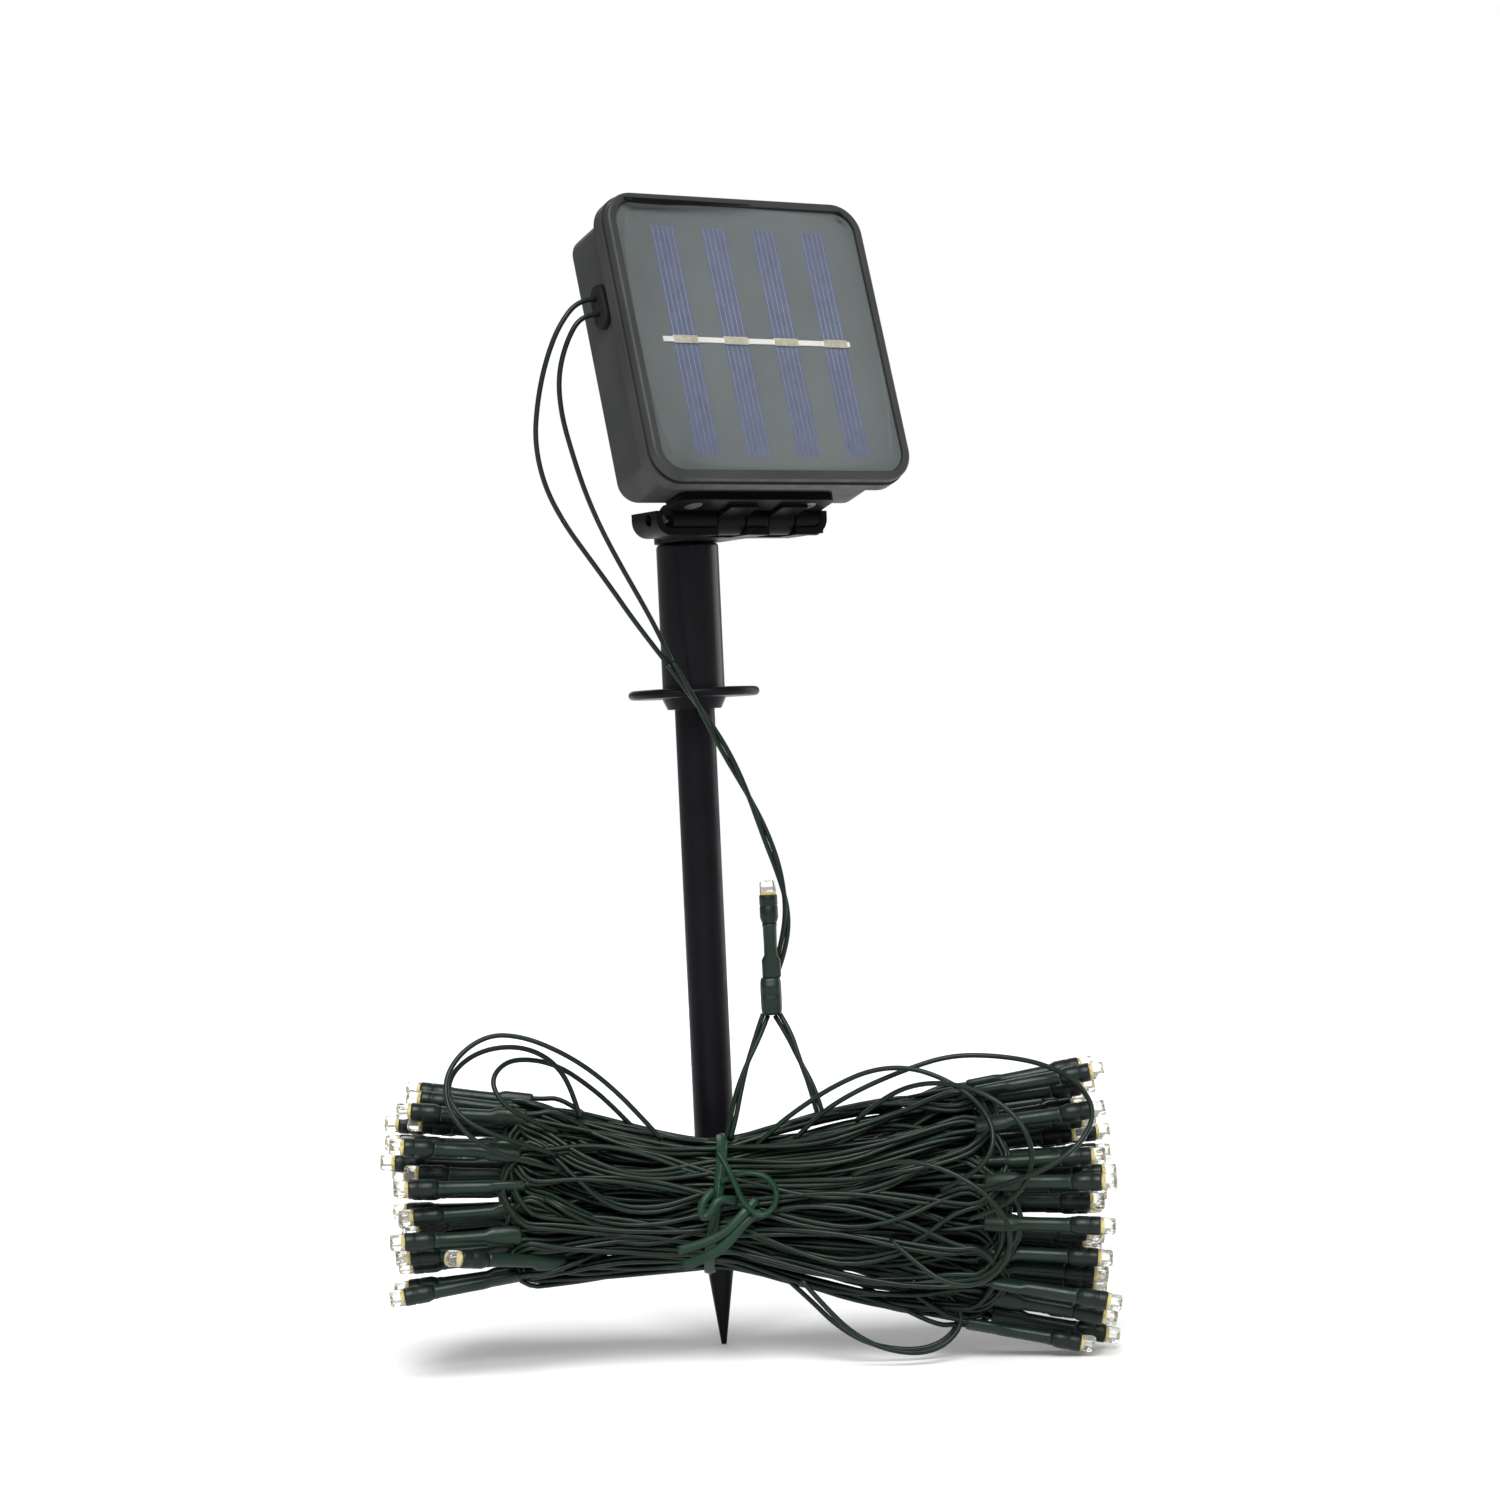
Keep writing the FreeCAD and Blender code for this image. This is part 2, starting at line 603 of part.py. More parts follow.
def hinge_foot():
    """The black plate screwed under the rear case, with two knuckles on the tilt pin."""
    bottom = f"-({CASE_WIDTH}) / 2"
    plate = block("foot_plate", (("-sizes.foot_width / 2", "sizes.foot_width / 2"),
                                 ("sizes.foot_front", "sizes.box_depth - sizes.back_edge_radius"),
                                 (f"{bottom} - sizes.foot_thickness", bottom)))
    smooth = rounded("foot_edge", plate, size.foot_edge_radius,
                     lambda m, d: abs(d.z) > 0.99 and m.y < size.foot_front + 1)
    parts = [smooth]
    for name, (low, high) in FOOT_FINGERS.items():
        span = (str(low), str(high))
        parts.append(rod(f"foot_barrel_{name}", "x", "sizes.foot_knuckle_radius", span,
                         ("sizes.hinge_depth", "-sizes.hinge_drop")))
        parts.append(block(f"foot_link_{name}", (span, ("sizes.box_depth - 8", "sizes.hinge_depth"),
                                                 ("-sizes.hinge_drop - 0.6", f"{bottom} - 0.2"))))
    hole = rod("foot_pin_hole", "x", "sizes.pin_radius + sizes.pin_play", ("-30", "30"),
               ("sizes.hinge_depth", "-sizes.hinge_drop"))
    places = [foot_screw_place(x) for x in (-1, 1)]
    holes = [rod(f"foot_screw_hole_{i}", "z", "sizes.screw_clearance",
                 (f"{bottom} - sizes.foot_thickness", bottom), p) for i, p in enumerate(places)]
    sinks = [rod(f"foot_screw_sink_{i}", "z", "sizes.screw_head_radius + 0.1",
                 (f"{bottom} - sizes.foot_thickness",
                  f"{bottom} - sizes.foot_thickness + sizes.foot_sink_depth"), p)
             for i, p in enumerate(places)]
    node("hinge_foot", cut("foot_cut", fuse("foot_solid", *parts), hole, *holes, *sinks), HEAD)
    screws = []
    for i, place in enumerate(places):
        low = f"{bottom} - sizes.foot_thickness + 0.2"
        shank_low = f"{low} + sizes.foot_head_height"
        top = rod(f"foot_screw_head_{i}", "z", "sizes.screw_head_radius", (low, shank_low), place)
        shank = rod(f"foot_screw_shank_{i}", "z", "sizes.screw_radius", (shank_low, f"{bottom} + 5.5"), place)
        screws.append(fuse(f"foot_screw_{i}", top, shank))
    node("foot_screws", group("foot_screw_set", *screws), HEAD)


# ---------------------------------------------------------------- bracket

def hinge_bracket():
    """A shallow open tray with three knuckles, and a neck and spigot that turn in the stake tube."""
    floor = "sizes.hinge_height - sizes.bracket_drop"
    half = "sizes.bracket_width / 2"
    front = "-sizes.hinge_out - sizes.bracket_drop"
    back = "-sizes.hinge_out + sizes.bracket_reach"
    finger_back = "-sizes.hinge_out + sizes.foot_knuckle_radius + 0.8"
    top = "sizes.hinge_height + sizes.bracket_rise"
    wall = "sizes.bracket_wall"
    outer = block("tray_outer", ((f"-{half}", half), (front, back), (floor, top)))
    low = size.hinge_height - size.bracket_drop
    outer_round = rounded("tray_round", outer, size.bracket_corner,
                          lambda m, d: abs(d.y) > 0.99 and m.z < low + 0.1)
    inner = block("tray_inner", ((f"-{half} + {wall}", f"{half} - {wall}"), (f"{front} - 1", f"{back} + 1"),
                                 (f"{floor} + {wall}", f"{top} + 1")))
    inner_round = rounded("tray_hollow", inner, size.bracket_corner - size.bracket_wall,
                          lambda m, d: abs(d.y) > 0.99 and m.z < low + size.bracket_wall + 0.1)
    parts = [cut("tray", outer_round, inner_round)]
    for name, (left, right) in BRACKET_FINGERS.items():
        span = (str(left), str(right))
        parts.append(rod(f"finger_barrel_{name}", "x", "sizes.bracket_radius", span,
                         ("-sizes.hinge_out", "sizes.hinge_height")))
        foot_front = "-sizes.hinge_out - sizes.bracket_radius + 0.7"
        parts.append(block(f"finger_foot_{name}", (span, (foot_front, back),
                                                   (f"{floor} + 0.5", "sizes.hinge_height"))))
    bar = block("tray_bar", ((f"-{half} + sizes.bracket_corner", f"{half} - sizes.bracket_corner"),
                             (finger_back, back), (floor, "sizes.hinge_height")))
    neck = block("neck", (("-sizes.neck_radius + 0.1", "sizes.neck_radius - 0.1"), (finger_back, "0"),
                          (floor, f"{floor} + sizes.neck_thickness")))
    cap = rod("neck_cap", "z", "sizes.neck_radius", (floor, f"{floor} + sizes.neck_thickness"), ("0", "0"))
    spigot = rod("spigot", "z", "sizes.bore_radius - sizes.bore_play",
                 (f"{floor} - sizes.spigot_length", f"{floor} + 1"), ("0", "0"))
    windows = [block(f"window_{name}", ((f"{left} - {FINGER_PLAY}", f"{right} + {FINGER_PLAY}"),
                                        (f"{front} - 1", finger_back), (f"{floor} - 1", f"{top} + 5")))
               for name, (left, right) in FOOT_FINGERS.items()]
    hole = rod("bracket_pin_hole", "x", "sizes.pin_radius", ("-30", PIN_SPAN[1]),
               ("-sizes.hinge_out", "sizes.hinge_height"))
    lead_hole = rod("pin_entry", "x", "sizes.pin_radius + 0.3", ("-31", "-24.5"),
                    ("-sizes.hinge_out", "sizes.hinge_height"))
    solid = fuse("bracket_solid", *parts, bar, neck, cap, spigot)
    node("hinge_bracket", cut("bracket_cut", solid, hole, lead_hole, *windows))
    pin_centre = ("-sizes.hinge_out", "sizes.hinge_height")
    node("hinge_pin", rod("tilt_pin", "x", "sizes.pin_radius", PIN_SPAN, pin_centre))


# ---------------------------------------------------------------- stake

def stake():
    tube_top = "sizes.hinge_height - sizes.bracket_drop - sizes.tube_gap"
    middle = ("0", "0")
    skin = rod("tube_skin", "z", "sizes.tube_radius", ("sizes.flange_top", tube_top), middle)
    top = size.hinge_height - size.bracket_drop - size.tube_gap
    smooth = rounded("tube_edge", skin, 1.0, lambda m, d: abs(m.z - top) < 1e-3)
    bore = rod("tube_bore", "z", "sizes.bore_radius", ("sizes.flange_top", f"{tube_top} + 1"), middle)
    node("stake_tube", cut("tube_cut", smooth, bore))
    flange_low = "sizes.flange_top - sizes.flange_thickness"
    collar_low = f"{flange_low} - sizes.collar_height"
    flange = rod("flange", "z", "sizes.flange_radius", (flange_low, "sizes.flange_top"), middle)
    disc = rounded("flange_edge", flange, size.flange_thickness / 2 - 0.05, lambda m, d: abs(d.z) < 1e-3)
    collar = rod("collar", "z", "sizes.collar_radius - 1.6", (collar_low, flange_low), middle,
                 top_radius="sizes.collar_radius")
    shaft = rod("shaft", "z", "sizes.spike_radius", ("sizes.spike_taper", collar_low), middle)
    point = rod("point", "z", "sizes.spike_tip_radius", ("0", "sizes.spike_taper"), middle,
                top_radius="sizes.spike_radius")
    plug = rod("plug", "z", "sizes.bore_radius - sizes.bore_play",
               ("sizes.flange_top - 1", "sizes.flange_top + sizes.plug_height"), middle)
    node("ground_spike", fuse("spike_solid", disc, collar, shaft, point, plug))


# ---------------------------------------------------------------- wires

def turned(across, out, up):
    """A point of the string, in the frame turned about the stake."""
    angle = math.radians(size.string_turn)
    return Vector(across * math.cos(angle) + out * math.sin(angle),
                  across * math.sin(angle) - out * math.cos(angle), up)


def wire_path(points, label):
    """Straight runs joined by tangent arcs, each arc as large as its two runs allow."""
    edges = []
    start = points[0]
    radii = []
    for before, corner, after in zip(points, points[1:], points[2:]):
        run_in = corner - before
        run_out = after - corner
        turn = run_in.getAngle(run_out)
        shorter = min(run_in.Length, run_out.Length)
        back_off = 0.45 * shorter
        radii.append(back_off / math.tan(turn / 2))
        unit_in = run_in.normalize()
        unit_out = run_out.normalize()
        arc_start = corner - unit_in * back_off
        arc_end = corner + unit_out * back_off
        bisector = (unit_out - unit_in).normalize()
        reach = radii[-1] / math.cos(turn / 2) - radii[-1]
        edges.append(Part.LineSegment(start, arc_start).toShape())
        edges.append(Part.Arc(arc_start, corner + bisector * reach, arc_end).toShape())
        start = arc_end
    edges.append(Part.LineSegment(start, points[-1]).toShape())
    wire = Part.Wire(edges)
    print(f"{label}: length {wire.Length:.1f}, smallest radius {min(radii or [0]):.1f}")
    return wire


def tube(label, points, radius, place=None):
    """A round wire along a path. Its volume must be its section times its length."""
    path = wire_path(points, label)
    direction = points[1] - points[0]
    profile = Part.Wire([Part.Circle(points[0], direction, radius).toShape()])
    solid = path.makePipeShell([profile], True, False)
    expected = math.pi * radius ** 2 * path.Length
    if abs(solid.Volume - expected) > 0.02 * expected:
        raise RuntimeError(f"{label}: volume {solid.Volume:.1f}, expected {expected:.1f}")
    obj = doc.addObject("Part::Feature", label + "_tube")
    obj.Shape = solid
    return node(label, obj, place)


def head_point(x, depth, up):
    """A point of the head's own frame, placed in the object's frame."""
    return HEAD.multVec(Vector(x, depth, up))


def wire_exit(side):
    """Where a lead leaves the outer face of the grommet."""
    left = -size.box_width / 2 + size.case_inset - size.grommet_rise
    return head_point(left, size.seam_depth, size.grommet_up + side * size.wire_gap / 2)


LEAD_OUTER = [(-33.4, 51.5, 306), (-37.6, 52, 296), (-40.6, 50, 285), (-42.3, 46, 273),
              (-40.3, 42, 260.5), (-35.2, 38, 249.5), (-28.6, 34, 239.5), (-22, 30.5, 229.5),
              (-15.4, 27.3, 219), (-7.6, 25, 208.4)]
LEAD_INNER = [(-31.4, 51, 301.5), (-34.4, 49.5, 291.5), (-34.2, 45.5, 281), (-31.9, 42, 270.5),
              (-28.8, 38.5, 259), (-24.7, 34.5, 248), (-19.5, 30.5, 237), (-14, 27, 226.3),
              (-9, 25.6, 216), (-5.7, 25.5, 208)]
LEAD_PAIR = [(-6.6, 25.2, 208), (-0.5, 25.6, 198.2), (5.3, 25.2, 187.5), (10.6, 24.8, 177.2),
             (15.6, 24.7, 166.2), (20, 24.8, 154.5), (23.6, 25.2, 142.8), (25.2, 25.6, 131.6),
             (23.4, 26, 121.2), (20.4, 26.2, 113)]
TAIL_LEFT = [(17.2, 29, 102), (14.3, 30.5, 95), (10.8, 32.5, 87.5), (8, 34.5, 79.5), (6.4, 35.2, 73),
             (4.6, 36, 66.5)]
TAIL_RIGHT = [(20.6, 29, 102), (23.8, 30.5, 96.5), (26.4, 32.5, 89), (30.4, 35, 79.5), (32.5, 36, 70)]
# Loops that have slipped out of the hank.
LOOPS = {
    "loop_top_left": [(-45, 52, 66), (-54, 56, 70), (-63, 58, 73.5), (-71, 58, 78), (-76, 55, 85),
                      (-74, 50.5, 92), (-66, 46, 97), (-55, 43.5, 97.5), (-46, 42, 93),
                      (-40.5, 41, 84.5), (-38.5, 40, 75)],
    "loop_top_left_outer": [(-44, 54, 62), (-52.5, 58.5, 65), (-62, 61, 68.5), (-70, 61.5, 74),
                            (-75.5, 59.5, 82), (-76, 55.5, 90.5), (-71, 51.5, 97.5),
                            (-63, 48.5, 101.5), (-54.5, 47, 100.5), (-46, 46.5, 97),
                            (-37, 45.5, 91.5), (-28.5, 44, 84), (-21, 42.5, 75.5), (-15, 41, 68)],
    "loop_top_left_inner": [(-45, 47, 72), (-53, 52.5, 77), (-60, 53.5, 81.5), (-63.5, 51, 88.5),
                            (-59, 45.5, 93.5), (-51, 40, 93), (-43.5, 37.5, 90), (-37, 35.5, 85),
                            (-30, 33.5, 78.5), (-23, 33.5, 70.5)],
    "loop_top_right": [(24, 41, 66), (31, 42, 73), (42, 43.5, 79.5), (56, 44.5, 85), (70, 45, 89),
                       (84, 47, 88.5), (97, 52, 86), (106, 59, 81), (110, 67, 73), (104.5, 73, 64.5),
                       (94, 73.5, 58), (83.5, 69, 54), (75, 63, 51)],
    "loop_top_right_inner": [(10, 40, 62), (17, 41.5, 69), (26, 43, 75.5), (36, 44.5, 81.5),
                             (47, 46, 86), (58, 48.5, 86.5), (68, 52, 83), (76, 56.5, 77.5),
                             (81, 61, 70), (80, 64.5, 62), (73, 64, 55.5), (65, 60, 52)],
    "loop_front_right": [(42, 45, 71), (51, 49, 79), (64, 56, 83), (77, 62.5, 80.5), (87, 67, 73.5),
                         (91.5, 69.5, 64), (89.5, 70, 54), (82, 68, 47), (72.5, 63, 43.5)],
    "loop_front_low": [(40, 57, 57), (51, 62, 61.5), (64, 67, 60), (77, 70.5, 52.5), (84, 71.5, 42.5),
                       (82.5, 71.5, 32), (74.5, 70, 25.5), (65, 67, 26), (57, 62.5, 31.5), (50, 57, 38)],
    "loop_low_right": [(18, 40, 27), (26, 41.5, 19.5), (33.5, 42.5, 11.5), (42, 43.5, 6),
                       (52, 44, 3.6), (61.5, 43.5, 3.8), (69, 42.5, 8.5), (69.5, 41.5, 16.5),
                       (63, 40.5, 21)],
    "loop_low_right_outer": [(24, 48, 26), (31, 50, 17.5), (38.5, 51, 10), (47, 51.5, 5.4),
                             (57, 51, 3.4), (65, 49, 5.2), (70.5, 47, 11), (69, 45, 18.5),
                             (62.5, 43, 22)],
}
PAIR_ROUTES = {"lead_pair": LEAD_PAIR, "tail_left": TAIL_LEFT, "tail_right": TAIL_RIGHT}


def string_wires():
    for label, side, route in (("lead_outer", 1, LEAD_OUTER), ("lead_inner", -1, LEAD_INNER)):
        start = wire_exit(side)
        out = HEAD.Rotation.multVec(Vector(-1, 0, 0))
        points = [start, start + out * size.lead_exit_run] + [turned(*p) for p in route]
        tube(label, points, size.wire_radius)
    for label, route in PAIR_ROUTES.items():
        tube(label, [turned(*p) for p in route], 2 * size.wire_radius)
    for label, route in LOOPS.items():
        tube(label, [turned(*p) for p in route], size.wire_radius)
    for label, side in (("output_wire_upper", 1), ("output_wire_lower", -1)):
        inside = "-sizes.box_width / 2 + sizes.case_inset + sizes.wall + 1.2"
        up = f"sizes.grommet_up + {side} * sizes.wire_gap / 2"
        wire = rod(label + "_rod", "x", "sizes.wire_radius", (inside, "-sizes.connector_left"),
                   ("sizes.seam_depth", up))
        node(label, wire, HEAD)
    back = size.board_front + size.board_thickness
    for label, x in (("panel_wire_plus", -6), ("panel_wire_minus", -10)):
        points = [Vector(x, back, 2), Vector(x, back + 4.5, 2), Vector(x - 2, back + 8.5, 8),
                  Vector(x - 3, back + 12.5, 13), Vector(x - 3, size.circuit_front, 13)]
        tube(label, points, size.panel_wire_radius, HEAD)


# ---------------------------------------------------------------- lights

def revolved_unit():
    """The three pieces of one light, standing on +Z with the lens tip at the top."""
    sleeve_top = size.sleeve_length
    collar_top = sleeve_top + size.collar_led_length
    lens_top = collar_top + size.lens_length
    sleeve = Part.makeCylinder(size.sleeve_radius, size.sleeve_length)
    cone = size.light_collar_cone
    neck = Part.makeCone(size.sleeve_radius, size.collar_led_radius, cone, Vector(0, 0, sleeve_top))
    barrel = Part.makeCylinder(size.collar_led_radius, size.collar_led_length - cone,
                               Vector(0, 0, sleeve_top + cone))
    lens = Part.makeCylinder(size.lens_radius, size.lens_length, Vector(0, 0, collar_top))
    dish_place = Vector(0, 0, lens_top - size.lens_hollow)
    dish = Part.makeCone(0.2, size.lens_radius - 0.5, size.lens_hollow, dish_place)
    return sleeve, neck.fuse(barrel).removeSplitter(), lens.cut(dish)


def light_group(side, places):
    """Separate lights of one end of the hank, as one node for each kind of piece."""
    pieces = {"sleeves": [], "collars": [], "lenses": []}
    for base, direction in places:
        place = Placement(base, Rotation(Vector(0, 0, 1), direction))
        for kind, shape in zip(pieces, revolved_unit()):
            moved = shape.copy()
            moved.Placement = place
            pieces[kind].append(moved)
    for kind, shapes in pieces.items():
        obj = doc.addObject("Part::Feature", f"{kind}_{side}")
        obj.Shape = Part.makeCompound(shapes)
        node(f"light_{kind}_{side}", obj)


# Sections of the hank: across, centre out, centre up, half depth, half height.
HANK_SECTIONS = [(-62, 36, 54.6, 24, 32), (-40, 35, 51.5, 22, 27), (-4, 34, 47.5, 18.5, 20.4),
                 (4, 34, 47.5, 18.5, 20.4), (44, 37, 46, 24, 32), (84, 38, 44.5, 26, 40)]
# Ends of the hank: side, section, how far across the sleeves start, number of lights, rise of their aim.
HANK_ENDS = {
    "left": (-1, HANK_SECTIONS[0], 55.5, 32, 0.03),
    "right": (1, HANK_SECTIONS[-1], 75.5, 46, -0.05),
}
GOLDEN_ANGLE = math.radians(137.5)
FAN_REACH = 190.0
REACH_SPREAD = 9.0
AIM_SPREAD = 0.03
LIGHT_MARGIN = 3.5
LOWEST_LIGHT = 3.2
# One light at the left end lies on the front of the hank and looks outwards: base and direction.
FRONT_LIGHT = ((-44.7, 46.1, 34.2), (-0.855, 0.499, 0.142))


def hank():
    """One closed solid with the outer shape of the tied bundle: narrow at the tie, wide at its ends."""
    rings = []
    for across, out, up, half_depth, half_height in HANK_SECTIONS:
        centre = turned(across, out, up)
        outward = turned(0, 1, 0)
        upward = Vector(0, 0, 1)
        major, minor = (upward, outward) if half_height > half_depth else (outward, upward)
        lengths = sorted((half_height, half_depth), reverse=True)
        ellipse = Part.Ellipse(centre + major * lengths[0], centre + minor * lengths[1], centre)
        rings.append(Part.Wire([ellipse.toShape()]))
    obj = doc.addObject("Part::Feature", "hank_loft")
    obj.Shape = Part.makeLoft(rings, True, True)
    return node("wire_hank", obj)


def end_places(side, section, start, count, rise):
    """Lights spread evenly over one end of the hank, each with a reach and an aim of its own."""
    out, up, half_depth, half_height = section[1:]
    unit_length = size.sleeve_length + size.collar_led_length + size.lens_length
    places = []
    for number in range(count):
        share = math.sqrt((number + 0.5) / count)
        turn = number * GOLDEN_ANGLE
        y = share * math.cos(turn) * (half_depth - LIGHT_MARGIN)
        z = share * math.sin(turn) * (half_height - LIGHT_MARGIN)
        reach = REACH_SPREAD * ((number * 7) % 11 / 11 - 0.45)
        low_aim = (LOWEST_LIGHT - up - z) / unit_length
        aim_out = 1.6 * y / FAN_REACH + AIM_SPREAD * math.sin(2.3 * number)
        aim_up = max(z / FAN_REACH + rise + AIM_SPREAD * math.cos(1.7 * number), low_aim)
        point = turned(side * (start + reach), out + y, up + z)
        places.append((point, turned(side, aim_out, aim_up)))
    return places


def twist_tie():
    """The tie is a flat band round the waist of the hank."""
    width, thick = size.tie_width, size.tie_thickness
    section = HANK_SECTIONS[2]
    centre_out, centre_up, half_depth, half_height = section[1:]

    def plate(grow):
        centre = turned(-width / 2, centre_out, centre_up)
        high = Vector(0, 0, half_height + grow)
        deep = turned(0, half_depth + grow, 0)
        ring = Part.Wire([Part.Ellipse(centre + high, centre + deep, centre).toShape()])
        return Part.Face(ring).extrude(turned(width, 0, 0))

    obj = doc.addObject("Part::Feature", "tie_band")
    obj.Shape = plate(thick).cut(plate(0))
    return node("twist_tie", obj)


# The first light stands beside the lead: across and out.
FIRST_LIGHT = (19.6, 31)
SPLICE_SPAN = (102.0, 113.0)
SPLICE_SIDES = ((15.9, 22.4), (24.4, 33.4))


def first_light():
    """The first light of the string points up, and a flat shrink sleeve joins its wires."""
    sleeve_length = size.first_sleeve_length
    across, out = FIRST_LIGHT
    low = SPLICE_SPAN[1]
    sleeve, collar, lens = revolved_unit()
    shift = low + sleeve_length - size.sleeve_length
    short = Part.makeCylinder(size.sleeve_radius, sleeve_length)
    short.Placement = Placement(turned(across, out, low), Rotation())
    for label, shape, height in (("first_collar", collar, shift), ("first_lens", lens, shift)):
        obj = doc.addObject("Part::Feature", label + "_shape")
        obj.Shape = shape
        node(label, obj, Placement(turned(across, out, height), Rotation()))
    obj = doc.addObject("Part::Feature", "first_sleeve_shape")
    obj.Shape = short
    node("first_sleeve", obj)
    (left, right), (back, front) = SPLICE_SIDES
    outline = ((left, back), (right, back), (right, front), (left, front))
    corners = [turned(across, out, SPLICE_SPAN[0]) for across, out in outline]
    face = Part.Face(Part.makePolygon(corners + corners[:1]))
    solid = face.extrude(Vector(0, 0, SPLICE_SPAN[1] - SPLICE_SPAN[0]))
    upright = [e for e in solid.Edges if abs(e.tangentAt(e.FirstParameter).z) > 0.99]
    obj = doc.addObject("Part::Feature", "splice_shape")
    obj.Shape = solid.makeFillet(size.splice_corner, upright)
    node("splice_sleeve", obj)


# ---------------------------------------------------------------- the whole object

front_frame()
rear_case()
case_seal()
case_screws()
solar_panel()
cable_grommet()
electronics()
push_button("power_button", -1)
push_button("mode_button", 1)
battery()
hinge_foot()
hinge_bracket()
stake()
string_wires()
hank()
twist_tie()
for end, values in HANK_ENDS.items():
    light_group(end, end_places(*values))
light_group("front", [tuple(turned(*p) for p in FRONT_LIGHT)])
first_light()

doc.recompute()
for obj in doc.Objects:
    if {"Invalid", "Error"} & set(obj.State):
        raise RuntimeError(f"{obj.Name} failed: {obj.State}")
for label, obj in nodes.items():
    if obj.Shape.isNull() or not obj.Shape.isValid():
        raise RuntimeError(f"{label} has no valid shape")

os.makedirs("parts", exist_ok=True)
for label, obj in nodes.items():
    obj.Shape.exportStep(os.path.join("parts", label + ".step"))
print(f"{len(nodes)} nodes written")
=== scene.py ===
"""Looks for the solar string lights: camera, cords, lights, tie, materials and studio.

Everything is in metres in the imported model's frame. The string is laid out in a frame turned about
the stake: across, out (away from the stake) and up. The solar head has its own tilted frame.
"""
import json
import math
import random

